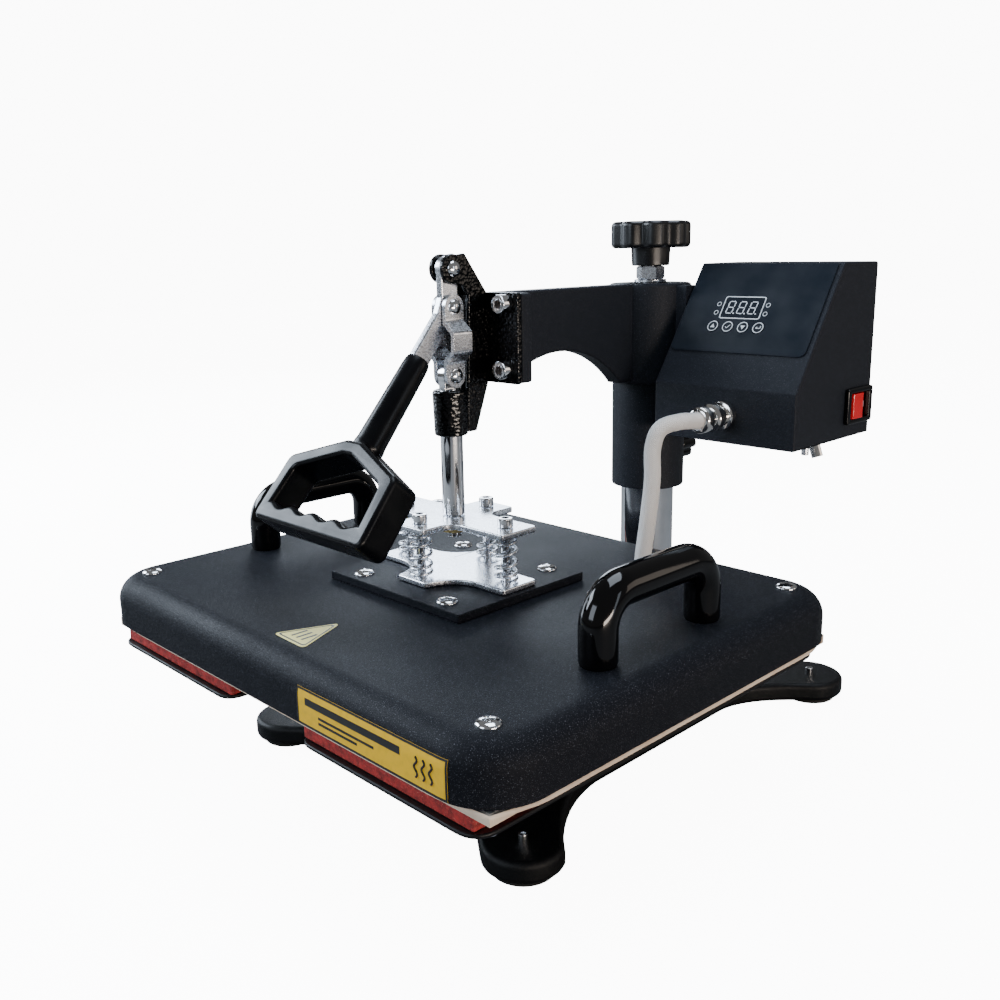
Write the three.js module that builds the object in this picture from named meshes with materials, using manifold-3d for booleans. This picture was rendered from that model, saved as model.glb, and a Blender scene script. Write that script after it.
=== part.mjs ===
// Swing-away heat press for 15 x 12 in transfers: a toggle press on a swinging arm.
// Millimetres, +X to the operator's right, +Y to the back, +Z up. The pieces are drawn about the
// plunger's axis with the table at TABLE_Z, and the group puts the table at Z = 0.
// The toggle is closed and locked, the upper platen just above the silicone pad.
import * as THREE from "three";
import { mergeVertices } from "three/addons/utils/BufferGeometryUtils.js";
import Module from "manifold-3d";

const wasm = await Module();
wasm.setup();

// ---------------------------------------------------------------- driving dimensions
const GAP = 0.3; // air left between pieces that touch
const FRAME_CENTRE_Y = 66; // middle of the whole press, front to back
const TABLE_Z = -4.5;

const PLATEN_W = 381; // 15 in
const PLATEN_D = 304.8; // 12 in
const COVER = { w: 400, d: 322, bottom: 98.5, top: 131, cornerR: 36, edgeR: 16, wall: 2 };
const HEAT_PLATE = { bottom: 92.6, top: 98.2 };
const SHEET = { thickness: 0.7, top: 98 };
const INSULATION_TOP = 127;
const SCREW_X = 172.5; // corner screws of cover and tray
const SCREW_Y = 134.8;

const FOOT = { x: 122, frontY: -62, backY: 267.5, r: 25.5, rubberR: 20, rubberTop: -0.8 };
const BASE = { bottom: -0.5, top: 14, railX: 96, bevel: 3, bossR: 33, bossTop: 64, studH: 4 };
const STAND = { size: 140, wall: 9, top: 81.1 };
const TRAY = { w: 372, d: 314, bottom: 81.4, top: 84, r: 16, notchHalf: 38, notchDepth: 42 };
const PAD = { w: 360, d: 306, top: 91.3, notchHalf: 39.5, notchDepth: 40 };
const NOTCH_R = 14;

const COLUMN_Y = 210.9;
const POST = { r: 21, innerR: 18, bottom: 6, top: 270 };
const SLEEVE = { r: 28.7, innerR: 21.4, bottom: 162.6, top: 299 };
const ARM = { top: 321.5, bossBottom: 246, bossR: 31.7, webHalf: 7, capZ: 309.5 };
const FLANGE = { front: 32.3, back: 41.3, half: 35, bottom: 264 };
const ARCH = { r: 92, y: 100, top: 277.5 };
const SWIVEL = { flangeR: 20.8, flangeTop: 276, plugR: 17.6, plugBottom: 246 };
const BOLT_R = 6; // M12 pressure bolt
const KNOB = { r: 30.4, neckR: 14.4, neckTopR: 15.2, bottom: 347.6, top: 367.5 };
const WASHER_TOP = ARM.top + 2.6;
const JAM_NUT = { acrossFlats: 19, top: WASHER_TOP + 10 };
const ARM_SPRING = { r: 12, wire: 3, bottom: 276.3, top: 309.2, turns: 4 };

const TOGGLE = { topZ: 337.5, midZ: 313.8, lowZ: 270.2, eyeR: 8, rivetR: 3.5, headR: 5 };
const BAR = { half: 2.8, width: 14 };
const CHEEK = { inner: 3.6, outer: 6.8 };
const BUSHING = { r: 11.8, bottom: 231.2, top: 261 };
const SHAFT_R = 7.4;
const LEVER_TILT = THREE.MathUtils.degToRad(49.5); // grip axis below the horizontal
const LOOP = { apex: -106.5, shoulder: -124.5, foot: -170.5, half: 55.3, back: -10, front: 12.5 };
const LOOP_HOLE = { half: 44.5, shoulderHalf: 42.5, low: 13.5, grooves: 4, depth: 3.2 };

const UPPER_SPIDER = { bottom: 172.9, top: 176.9, x: 62, y: 41, halfX: 15.5, halfY: 16, notchR: 9 };
const LOWER_SPIDER = { bottom: 137.3, top: 141, x: 61.7, y: 39, halfX: 14.5, halfY: 15.5, notchR: 24 };
const SPRING_SPOTS = { right: [49, 0], back: [0, 30], left: [-49, 0], front: [0, -30] };
const PLATEN_SPRING = { r: 6.8, wire: 2.2, bottom: 141.3, top: 172.6, turns: 5 };
const MOUNT_PLATE = { w: 130.8, d: 113.8, bottom: 131.3, top: 137, screwX: 42.3, screwY: 45.3 };

const HANDLE = { x: 165, y: 2, half: 48, r: 11, top: 170.5, bend: 20 };

const BOX = { left: 40, right: 155, front: 166.5, back: 271.7, bottom: 213.2, top: 335.7 };
const BOX_CREASE_Z = 252.1;
const BOX_TOP_FRONT = 223;
const BOX_WALL = 1.6;
const SWITCH = { y: 251, z: 235.6, w: 36, h: 25.7, proud: 3.5, tilt: 0.2 };
const GLAND = { x: 100.3, z: 233.4, tip: 134 };
const LOCK = { z: 189.5, inner: 21.8, outer: 31, end: 50, r: 13, lobeDepth: 3.2 };
const LEAD_R = 5.6;
const LEAD_ENTRY = { x: 83.5, y: 98, r: 6.4 }; // the hole in the cover that the lead goes down

// ---------------------------------------------------------------- materials
function look(color, roughness, metalness) {
  return new THREE.MeshStandardMaterial({ color, roughness, metalness });
}
const powderBlack = look(0x20242b, 0.55, 0.25);
const hammeredBlack = look(0x08090b, 0.25, 0.3);
const castBlack = look(0x17181b, 0.6, 0.2);
const bakelite = look(0x050507, 0.12, 0.0);
const gripBlack = look(0x0b0b0d, 0.4, 0.0);
const chrome = look(0xd8dade, 0.12, 1.0);
const zinc = look(0xc4c8cc, 0.28, 1.0);
const brass = look(0xb89a4a, 0.3, 1.0);
const aluminium = look(0xa9adb1, 0.4, 1.0);
const silicone = look(0xa3231c, 0.8, 0.0);
const cream = look(0xe8d5bd, 0.75, 0.0);
const fibreglass = look(0xefe9dc, 0.9, 0.0);
const panelNavy = look(0x18222e, 0.4, 0.0);
const displayGlass = look(0x0c1118, 0.15, 0.0);
const switchRed = look(0xd01313, 0.2, 0.0);
const rubber = look(0x0f0f10, 0.85, 0.0);
const keyNavy = look(0x2a3440, 0.5, 0.0);

// ---------------------------------------------------------------- solids
function solid(geometry) {
  const bare = geometry.index ? geometry.toNonIndexed() : geometry.clone();
  for (const name of Object.keys(bare.attributes)) {
    if (name !== "position") bare.deleteAttribute(name);
  }
  const merged = mergeVertices(bare, 1e-3);
  return new wasm.Manifold(
    new wasm.Mesh({
      numProp: 3,
      vertProperties: new Float32Array(merged.attributes.position.array),
      triVerts: new Uint32Array(merged.index.array),
    }),
  );
}

function fromSolid(body) {
  const mesh = body.getMesh();
  const geometry = new THREE.BufferGeometry();
  const points = new Float32Array(mesh.vertProperties);
  geometry.setAttribute("position", new THREE.BufferAttribute(points, 3));
  geometry.setIndex(new THREE.BufferAttribute(new Uint32Array(mesh.triVerts), 1));
  geometry.computeVertexNormals();
  return geometry;
}

function join(...pieces) {
  return fromSolid(pieces.map(solid).reduce((a, b) => a.add(b)));
}

function cut(body, ...tools) {
  return fromSolid(tools.map(solid).reduce((a, b) => a.subtract(b), solid(body)));
}

function box(x0, x1, y0, y1, z0, z1) {
  const geometry = new THREE.BoxGeometry(x1 - x0, y1 - y0, z1 - z0);
  return geometry.translate((x0 + x1) / 2, (y0 + y1) / 2, (z0 + z1) / 2);
}

// An upright cylinder or cone from z0 to z1.
function post(x, y, r, z0, z1, sides = 24, topR = r) {
  const geometry = new THREE.CylinderGeometry(topR, r, z1 - z0, sides);
  return geometry.rotateX(Math.PI / 2).translate(x, y, (z0 + z1) / 2);
}

// A cylinder along X from x0 to x1.
function pinX(x0, x1, y, z, r, sides = 20) {
  const geometry = new THREE.CylinderGeometry(r, r, x1 - x0, sides);
  return geometry.rotateZ(-Math.PI / 2).translate((x0 + x1) / 2, y, z);
}

// A cylinder along Y from y0 to y1.
function pinY(y0, y1, x, z, r, sides = 24) {
  return new THREE.CylinderGeometry(r, r, y1 - y0, sides).translate(x, (y0 + y1) / 2, z);
}

// A hexagonal prism along Z, measured across its flats.
function hexNut(x, y, acrossFlats, z0, z1) {
  return post(x, y, acrossFlats / Math.sqrt(3), z0, z1, 6);
}

function turned(profile, sides = 32) {
  const points = profile.map(([r, z]) => new THREE.Vector2(r, z));
  return new THREE.LatheGeometry(points, sides).rotateX(Math.PI / 2);
}

function extruded(shape, z0, z1, options = {}) {
  const { bevel = 0, bevelSteps = 3, curve = 8 } = options;
  const geometry = new THREE.ExtrudeGeometry(shape, {
    depth: z1 - z0 - 2 * bevel,
    bevelEnabled: bevel > 0,
    bevelThickness: bevel,
    bevelSize: bevel,
    bevelOffset: -bevel,
    bevelSegments: bevelSteps,
    curveSegments: curve,
  });
  return geometry.translate(0, 0, z0 + bevel);
}

// A prism along X whose outline is drawn in Y (first) and Z (second).
function sideProfile(shape, x0, x1, curve = 10) {
  const geometry = extruded(shape, x0, x1, { curve });
  return geometry.rotateX(Math.PI / 2).rotateZ(Math.PI / 2);
}

function roundedRect(w, d, r) {
  const shape = new THREE.Shape();
  shape.moveTo(-w / 2 + r, -d / 2);
  shape.lineTo(w / 2 - r, -d / 2);
  shape.absarc(w / 2 - r, -d / 2 + r, r, -Math.PI / 2, 0, false);
  shape.lineTo(w / 2, d / 2 - r);
  shape.absarc(w / 2 - r, d / 2 - r, r, 0, Math.PI / 2, false);
  shape.lineTo(-w / 2 + r, d / 2);
  shape.absarc(-w / 2 + r, d / 2 - r, r, Math.PI / 2, Math.PI, false);
  shape.lineTo(-w / 2, -d / 2 + r);
  shape.absarc(-w / 2 + r, -d / 2 + r, r, Math.PI, 1.5 * Math.PI, false);
  return shape;
}

function polygon(points) {
  return new THREE.Shape(points.map(([x, y]) => new THREE.Vector2(x, y)));
}

// A tube along a curve, closed at both ends. An arc is drawn with two points per curve segment.
function tube(curve, r, sides, steps) {
  const section = new THREE.Shape();
  section.absarc(0, 0, r, 0, 2 * Math.PI, false);
  const curveSegments = sides / 2;
  return new THREE.ExtrudeGeometry(section, { steps, extrudePath: curve, curveSegments });
}

class Helix extends THREE.Curve {
  constructor(r, z0, z1, turns) {
    super();
    Object.assign(this, { r, z0, z1, turns });
  }

  getPoint(t, target = new THREE.Vector3()) {
    const angle = 2 * Math.PI * this.turns * t;
    const z = this.z0 + (this.z1 - this.z0) * t;
    return target.set(this.r * Math.cos(angle), this.r * Math.sin(angle), z);
  }
}

function coilSpring(size) {
  const half = size.wire / 2 + 0.1;
  const path = new Helix(size.r, size.bottom + half, size.top - half, size.turns);
  return tube(path, size.wire / 2, 6, size.turns * 8);
}

function panHead(x, y, z) {
  const profile = [[0, -1], [6.6, -1], [6.6, 0.6], [5, 2.2], [0, 2.7]];
  return turned(profile, 12).translate(x, y, z);
}

// ---------------------------------------------------------------- the assembly
const group = new THREE.Group();
group.position.set(0, -FRAME_CENTRE_Y, -TABLE_Z);

function add(name, geometry, material, parent = group) {
  const mesh = new THREE.Mesh(geometry, material);
  mesh.name = name;
  parent.add(mesh);
  return mesh;
}

// ---------------------------------------------------------------- base
// Half the outline of the casting, from the back centre round the right to the front centre.
function baseOutline() {
  const shape = new THREE.Shape();
  const { x, frontY, backY, r } = FOOT;
  const rail = BASE.railX;
  shape.moveTo(0, backY - 22);
  shape.quadraticCurveTo(60, backY - 22, x - 16, backY + 19);
  shape.absarc(x, backY, r, Math.PI * 0.72, -Math.PI * 0.28, true);
  shape.quadraticCurveTo(rail + 1, backY - 52, rail, backY - 84);
  shape.lineTo(rail, frontY + 105);
  shape.quadraticCurveTo(rail + 2, frontY + 54, x + 22, frontY + 12);
  shape.absarc(x, frontY, r, Math.PI * 0.16, -Math.PI * 0.72, true);
  shape.quadraticCurveTo(72, frontY + 6, 40, frontY + 34);
  shape.quadraticCurveTo(22, frontY + 45, 0, frontY + 45);
  const half = shape.getPoints(5).slice(0, -1);
  const front = new THREE.Vector2(0, frontY + 45);
  const mirrored = half.slice(1).reverse().map((p) => new THREE.Vector2(-p.x, p.y));
  return new THREE.Shape([...half, front, ...mirrored].reverse());
}

function baseCasting() {
  const plate = extruded(baseOutline(), BASE.bottom, BASE.top, { bevel: BASE.bevel, bevelSteps: 1 });
  const boss = post(0, COLUMN_Y, BASE.bossR + 4, BASE.top - 1, BASE.bossTop, 36, BASE.bossR);
  const studs = [];
  for (const x of [-FOOT.x, FOOT.x]) {
    for (const y of [FOOT.frontY, FOOT.backY]) {
      studs.push(hexNut(x, y, 4.6, BASE.top - 1, BASE.top + BASE.studH));
    }
  }
  const socket = post(0, COLUMN_Y, POST.r + GAP, POST.bottom - GAP, BASE.bossTop + 1, 40);
  return cut(join(plate, boss, ...studs), socket);
}

function standOfLowerPlaten() {
  const half = STAND.size / 2;
  const inner = half - STAND.wall;
  const body = extruded(roundedRect(STAND.size, STAND.size, 14), BASE.top + GAP, STAND.top, { curve: 4 });
  return cut(body, box(-inner, inner, -inner, inner, 0, COVER.top));
}

function notchedSheet(w, d, r, notchHalf, notchDepth, notchR, z0, z1) {
  const shape = roundedRect(w, d, r);
  const front = -d / 2;
  const notch = new THREE.Shape();
  notch.moveTo(-notchHalf - notchR, front - 1);
  notch.lineTo(notchHalf + notchR, front - 1);
  notch.lineTo(notchHalf + notchR, front);
  notch.quadraticCurveTo(notchHalf, front, notchHalf, front + notchR);
  const inX = notchHalf - NOTCH_R;
  const inY = front + notchDepth - NOTCH_R;
  notch.lineTo(notchHalf, inY);
  notch.absarc(inX, inY, NOTCH_R, 0, Math.PI / 2, false);
  notch.lineTo(-inX, front + notchDepth);
  notch.absarc(-inX, inY, NOTCH_R, Math.PI / 2, Math.PI, false);
  notch.lineTo(-notchHalf, front + notchR);
  notch.quadraticCurveTo(-notchHalf, front, -notchHalf - notchR, front);
  const tool = extruded(notch, z0 - 1, z1 + 1, { curve: 5 });
  return cut(extruded(shape, z0, z1, { curve: 6 }), tool);
}

function lowerTray() {
  const sheet = notchedSheet(
    TRAY.w, TRAY.d, TRAY.r, TRAY.notchHalf, TRAY.notchDepth, NOTCH_R, TRAY.bottom, TRAY.top,
  );
  const nuts = [];
  for (const x of [-SCREW_X, SCREW_X]) {
    for (const y of [-SCREW_Y, SCREW_Y]) {
      nuts.push(hexNut(x, y, 10, TRAY.bottom - 5, TRAY.bottom + 1));
      nuts.push(post(x, y, 3, TRAY.bottom - 9, TRAY.bottom + 1, 12));
    }
  }
  return join(sheet, ...nuts);
}

function addBase() {
  add("base_casting", baseCasting(), castBlack);
  for (const [side, x] of [["left", -FOOT.x], ["right", FOOT.x]]) {
    for (const [end, y] of [["front", FOOT.frontY], ["back", FOOT.backY]]) {
      add(`rubber_foot_${end}_${side}`, post(x, y, FOOT.rubberR, TABLE_Z, FOOT.rubberTop, 24), rubber);
    }
  }
  const bore = post(0, COLUMN_Y, POST.innerR, 0, 400, 32);
  add("post", cut(post(0, COLUMN_Y, POST.r, POST.bottom, POST.top, 40), bore), chrome);
  add("lower_platen_stand", standOfLowerPlaten(), castBlack);
  add("lower_platen_tray", lowerTray(), castBlack);
  const pad = notchedSheet(
    PAD.w, PAD.d, 1, PAD.notchHalf, PAD.notchDepth, 1, TRAY.top + GAP, PAD.top,
  );
  add("silicone_pad", pad, silicone);
}

// ---------------------------------------------------------------- column head and arm
function addSwivel() {
  const profile = [
    [BOLT_R + GAP, SWIVEL.plugBottom],
    [SWIVEL.plugR, SWIVEL.plugBottom],
    [SWIVEL.plugR, POST.top + GAP],
    [SWIVEL.flangeR, POST.top + GAP],
    [SWIVEL.flangeR, SWIVEL.flangeTop],
    [BOLT_R + GAP, SWIVEL.flangeTop],
    [BOLT_R + GAP, SWIVEL.plugBottom],
  ];
  add("swivel_cap", turned(profile).translate(0, COLUMN_Y, 0), zinc);
}

// The web: a plate in the Y-Z plane with an arch cut out of its underside.
function armWeb() {
  const outline = polygon([
    [FLANGE.front, FLANGE.bottom], [ARCH.y, FLANGE.bottom], [ARCH.y, ARM.bossBottom],
    [COLUMN_Y, ARM.bossBottom], [COLUMN_Y, ARM.top], [FLANGE.front, ARM.top],
  ]);
  const web = sideProfile(outline, -ARM.webHalf, ARM.webHalf);
  return cut(web, pinX(-50, 50, ARCH.y, ARCH.top - ARCH.r, ARCH.r, 96));
}

function armCasting() {
  const { front, back, half, bottom } = FLANGE;
  const flange = box(-half, half, front, back, bottom, ARM.top);
  const boss = post(0, COLUMN_Y, ARM.bossR, ARM.bossBottom, ARM.top, 40);
  const boxLug = box(20, BOX.left - GAP, COLUMN_Y - 8, COLUMN_Y + 4, 262, ARM.top - 1.5);
  const sleeveSeat = post(0, COLUMN_Y, SLEEVE.r + GAP, ARM.bossBottom - 1, SLEEVE.top + GAP, 40);
  const springRoom = post(0, COLUMN_Y, SWIVEL.flangeR + 1, SLEEVE.top - 1, ARM.capZ, 40);
  const boltHole = post(0, COLUMN_Y, BOLT_R + 0.5, ARM.capZ - 1, ARM.top + 1, 24);
  return cut(join(flange, armWeb(), boss, boxLug), sleeveSeat, springRoom, boltHole);
}

function armSleeve() {
  const wall = post(0, COLUMN_Y, SLEEVE.r, SLEEVE.bottom, SLEEVE.top, 40);
  const bore = post(0, COLUMN_Y, SLEEVE.innerR, SLEEVE.bottom - 1, SLEEVE.top + 1, 40);
  const lockHole = pinY(COLUMN_Y + 15, COLUMN_Y + 40, 0, LOCK.z, 4.4, 16);
  return cut(wall, bore, lockHole);
}

// One cheek of the toggle bracket, outlined in Y and Z.
function bracketCheek(x0, x1) {
  const { topZ } = TOGGLE;
  const back = FLANGE.front - GAP - 3.7;
  const shape = new THREE.Shape();
  shape.moveTo(-1, topZ - 9);
  shape.absarc(0, topZ, 9.2, -Math.PI * 0.6, Math.PI * 0.6, true);
  shape.lineTo(10, topZ + 9.5);
  shape.lineTo(back, ARM.top + 0.5);
  shape.lineTo(back, FLANGE.bottom);
  shape.lineTo(17, BUSHING.bottom);
  shape.lineTo(9, BUSHING.bottom);
  shape.lineTo(10, BUSHING.top);
  shape.lineTo(12.5, topZ - 17);
  shape.lineTo(8, topZ - 9.5);
  return sideProfile(shape, x0, x1, 8);
}

function toggleBracket() {
  const back = FLANGE.front - GAP;
  const plate = box(-FLANGE.half, FLANGE.half, back - 4, back, FLANGE.bottom - 0.5, ARM.top + 0.5);
  const bushing = post(0, 0, BUSHING.r - 0.6, BUSHING.bottom, BUSHING.top, 24, BUSHING.r);
  const web = box(-CHEEK.inner - 1, CHEEK.inner + 1, 14.5, back - 1, FLANGE.bottom, ARM.top);
  const bolts = [];
  for (const x of [-25, 25]) {
    for (const z of [273, 315]) {
      bolts.push(pinY(back - 12, back - 3, x, z, 6, 12));
    }
  }
  const cheeks = [-1, 1].map((side) => {
    const ends = [side * CHEEK.inner, side * CHEEK.outer];
    return bracketCheek(Math.min(...ends), Math.max(...ends));
  });
  const body = join(plate, bushing, web, ...cheeks, ...bolts);
  const bore = post(0, 0, SHAFT_R + 0.4, BUSHING.bottom - 1, BUSHING.top + 1, 24);
  const tongueRoom = box(-CHEEK.inner, CHEEK.inner, -9, 14.5, BUSHING.top, TOGGLE.topZ + 30);
  const pivot = pinX(-20, 20, 0, TOGGLE.topZ, TOGGLE.rivetR + GAP);
  return cut(body, bore, tongueRoom, pivot);
}

// A rivet along X with a domed head at each end.
function rivet(z, gripHalf) {
  const { rivetR, headR } = TOGGLE;
  const dome = 2.6;
  const profile = [
    [0, -gripHalf - dome], [headR * 0.6, -gripHalf - dome * 0.75], [headR, -gripHalf],
    [rivetR, -gripHalf], [rivetR, gripHalf],
    [headR, gripHalf], [headR * 0.6, gripHalf + dome * 0.75], [0, gripHalf + dome],
  ];
  return turned(profile, 14).rotateY(Math.PI / 2).translate(0, 0, z);
}

function addArm() {
  add("arm_casting", armCasting(), powderBlack);
  add("arm_sleeve", armSleeve(), powderBlack);
  add("toggle_bracket", toggleBracket(), hammeredBlack);
  add("toggle_top_rivet", rivet(TOGGLE.topZ, CHEEK.outer + GAP), chrome);
  const washer = cut(
    post(0, COLUMN_Y, 12.3, ARM.top + GAP, WASHER_TOP),
    post(0, COLUMN_Y, BOLT_R + 0.5, ARM.top, WASHER_TOP + 1),
  );
  add("pressure_washer", washer, zinc);
  add("arm_spring", coilSpring(ARM_SPRING).translate(0, COLUMN_Y, 0), zinc);
}

// ---------------------------------------------------------------- pressure screw and lock knob
function lobedDisc(r, lobes, depth, z0, z1, bevel) {
  const shape = new THREE.Shape();
  const steps = lobes * 5;
  for (let i = 0; i < steps; i += 1) {
    const angle = (2 * Math.PI * i) / steps;
    const reach = r - depth * (0.5 - 0.5 * Math.cos(lobes * angle)) ** 2;
    const point = [reach * Math.cos(angle), reach * Math.sin(angle)];
    if (i === 0) shape.moveTo(...point);
    else shape.lineTo(...point);
  }
  return extruded(shape, z0, z1, { bevel, bevelSteps: 1 });
}

function addPressureScrew() {
  const nut = hexNut(0, 0, JAM_NUT.acrossFlats, WASHER_TOP + GAP, JAM_NUT.top);
  const shankTop = KNOB.bottom + 2;
  const shank = post(0, 0, BOLT_R, 240, shankTop, 24);
  const neck = post(0, 0, KNOB.neckR, JAM_NUT.top + GAP, KNOB.bottom + 1, 32, KNOB.neckTopR);
  const crown = lobedDisc(KNOB.r, 8, 4.6, KNOB.bottom, KNOB.top, 2.5);
  const socket = post(0, 0, BOLT_R + GAP, 300, shankTop + GAP, 24);
  const turn = new THREE.Group();
  turn.position.set(0, COLUMN_Y, 0);
  group.add(turn);
  add("pressure_screw", join(nut, shank), zinc, turn);
  add("pressure_knob", cut(join(neck, crown), socket), bakelite, turn);
}

function addLockKnob() {
  const screw = post(0, 0, 3.9, LOCK.inner, LOCK.outer + 1, 16);
  const crown = lobedDisc(LOCK.r, 6, LOCK.lobeDepth, LOCK.outer, LOCK.end, 2);
  const knob = join(screw, crown).rotateX(-Math.PI / 2).translate(0, COLUMN_Y, LOCK.z);
  add("lock_knob", knob, bakelite);
}

// ---------------------------------------------------------------- plunger, links and lever
function plungerShaft() {
  const tongueTop = TOGGLE.lowZ + TOGGLE.eyeR;
  const rod = post(0, 0, SHAFT_R, UPPER_SPIDER.top + GAP, TOGGLE.lowZ - 8.4, 28);
  const stud = post(0, 0, 4.7, 162, UPPER_SPIDER.top + 1, 20);
  const tongue = join(
    box(-3.2, 3.2, -7, 7, TOGGLE.lowZ - 10, TOGGLE.lowZ),
    pinX(-3.2, 3.2, 0, TOGGLE.lowZ, tongueTop - TOGGLE.lowZ),
  );
  const eye = pinX(-10, 10, 0, TOGGLE.lowZ, TOGGLE.rivetR + GAP);
  return cut(join(rod, stud, tongue), eye);
}

// A cross-shaped plate whose four inside corners are round notches.
function spider(size, holeR, centreR) {
  const { x, y, halfX, halfY, notchR } = size;
  const tip = 2.5;
  const arms = join(
    extruded(roundedRect(2 * x, 2 * halfY, tip), size.bottom, size.top, { curve: 3 }),
    extruded(roundedRect(2 * halfX, 2 * y, tip), size.bottom, size.top, { curve: 3 }),
    box(-halfX - notchR, halfX + notchR, -halfY - notchR, halfY + notchR, size.bottom, size.top),
  );
  const tools = [post(0, 0, centreR, size.bottom - 1, size.top + 1, 24)];
  for (const side of [-1, 1]) {
    for (const end of [-1, 1]) {
      const cx = side * (halfX + notchR);
      const cy = end * (halfY + notchR);
      tools.push(post(cx, cy, notchR, size.bottom - 1, size.top + 1, 24));
      const outX = [cx, side * (x + 5)].sort((a, b) => a - b);
      const outY = [cy, end * (y + 5)].sort((a, b) => a - b);
      const nearX = [side * halfX, side * (x + 5)].sort((a, b) => a - b);
      const nearY = [end * halfY, end * (y + 5)].sort((a, b) => a - b);
      tools.push(box(...outX, ...nearY, size.bottom - 1, size.top + 1));
      tools.push(box(...nearX, ...outY, size.bottom - 1, size.top + 1));
    }
  }
  for (const [px, py] of Object.values(SPRING_SPOTS)) {
    tools.push(post(px, py, holeR, size.bottom - 1, size.top + 1, 12));
  }
  return cut(arms, ...tools);
}

// One bulged link plate between the middle and the lower pivot; side is -1 or 1.
function toggleLink(side) {
  const { midZ, lowZ, eyeR, rivetR, headR } = TOGGLE;
  const near = CHEEK.inner;
  const far = CHEEK.outer - 0.3;
  const bulge = 7.5;
  const shoulder = 10.5;
  const outline = polygon([
    [near, midZ], [near, midZ - shoulder], [near + bulge, midZ - shoulder - 6],
    [near + bulge, lowZ + shoulder + 6], [near, lowZ + shoulder], [near, lowZ],
    [far, lowZ], [far, lowZ + shoulder - 1.5], [far + bulge, lowZ + shoulder + 4.5],
    [far + bulge, midZ - shoulder - 4.5], [far, midZ - shoulder + 1.5], [far, midZ],
  ]);
  const strip = extruded(outline, -7, 7).rotateX(Math.PI / 2);
  const eyes = [midZ, lowZ].map((z) => pinX(near, far, 0, z, eyeR));
  const head = turned([[0, 0], [headR, 0], [headR, 0.6], [headR * 0.6, 2.2], [0, 2.8]], 20);
  head.rotateY(Math.PI / 2).translate(far - 0.1, 0, midZ);
  const eye = pinX(0, 20, 0, lowZ, rivetR + GAP);
  const plate = cut(join(strip, ...eyes, head), eye);
  return side > 0 ? plate : plate.rotateZ(Math.PI);
}

function leverBar() {
  const { topZ, midZ, eyeR, rivetR } = TOGGLE;
  const half = BAR.width / 2;
  const upright = box(-BAR.half, BAR.half, -half, half, midZ, topZ);
  const arm = box(-BAR.half, BAR.half, -half, half, -58, 0);
  arm.rotateX(LEVER_TILT - Math.PI / 2).translate(0, 0, midZ - 1.8);
  const eyes = [topZ, midZ].map((z) => pinX(-BAR.half, BAR.half, 0, z, eyeR));
  return cut(join(upright, arm, ...eyes), pinX(-9, 9, 0, topZ, rivetR + GAP));
}

// The grip is drawn with its axis along -Y, then tilted with its group.
function grip() {
  const profile = [
    [0, -108], [9.6, -108], [9.8, -100], [8.6, -46], [8.2, -41], [7, -39], [0, -39],
  ];
  const body = turned(profile, 24).rotateX(-Math.PI / 2);
  const half = BAR.width / 2 + GAP;
  const pocket = box(-BAR.half - GAP, BAR.half + GAP, -58.6, -30, -half, half);
  return cut(body, pocket);
}

// The grip bar's inner edge, from left to right: finger grooves with round humps between them.
function gripEdge() {
  const { half, low, grooves, depth } = LOOP_HOLE;
  const steps = grooves * 6;
  const points = [];
  for (let i = 0; i <= steps; i += 1) {
    const t = i / steps;
    const groove = 0.5 - 0.5 * Math.cos(2 * Math.PI * grooves * t);
    points.push([half * (2 * t - 1), LOOP.foot + low - depth * groove]);
  }
  return points;
}

function handleLoop() {
  const { apex, shoulder, foot, half, back, front } = LOOP;
  const outer = new THREE.Shape();
  outer.moveTo(-6, apex);
  outer.lineTo(6, apex);
  outer.lineTo(half - 5, shoulder + 2);
  outer.quadraticCurveTo(half - 1.5, shoulder, half - 1, shoulder - 5);
  outer.lineTo(half, foot + 5);
  outer.quadraticCurveTo(half, foot, half - 5, foot);
  outer.lineTo(-half + 5, foot);
  outer.quadraticCurveTo(-half, foot, -half, foot + 5);
  outer.lineTo(-half + 1, shoulder - 5);
  outer.quadraticCurveTo(-half + 1.5, shoulder, -half + 5, shoulder + 2);
  const side = LOOP_HOLE.shoulderHalf;
  const points = [
    [4, apex - 10], [-4, apex - 10], [-side, shoulder - 7],
    ...gripEdge(), [side, shoulder - 7],
  ];
  outer.holes.push(new THREE.Path(points.map(([x, y]) => new THREE.Vector2(x, y))));
  return extruded(outer, back, front, { bevel: 2.5, bevelSteps: 1, curve: 4 });
}

function addPlunger() {
  add("plunger_shaft", plungerShaft(), chrome);
  add("upper_spider", spider(UPPER_SPIDER, 3.5, 5), zinc);
  const nut = cut(hexNut(0, 0, 16, 166, UPPER_SPIDER.bottom - GAP), post(0, 0, 5, 160, 175, 20));
  add("plunger_nut", nut, brass);
  add("toggle_lower_rivet", rivet(TOGGLE.lowZ, CHEEK.outer), chrome);
  add("toggle_link_right", toggleLink(1), zinc);
  add("toggle_link_left", toggleLink(-1), zinc);
}

function addLever() {
  add("lever_bar", leverBar(), zinc);
  const tilt = new THREE.Group();
  tilt.position.set(0, 0, TOGGLE.midZ - 1.8);
  tilt.rotation.x = LEVER_TILT;
  group.add(tilt);
  const loop = handleLoop();
  add("lever_grip", cut(grip(), box(-80, 80, -200, -108 + GAP, -30, 30)), gripBlack, tilt);
  const gripRoom = turned([[0, -2], [10.2, -2], [10.2, 1.6], [0, 1.6]], 24).rotateX(-Math.PI / 2);
  add("lever_handle", cut(loop, gripRoom.translate(0, -107.5 + GAP, 0)), gripBlack, tilt);
}

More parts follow.
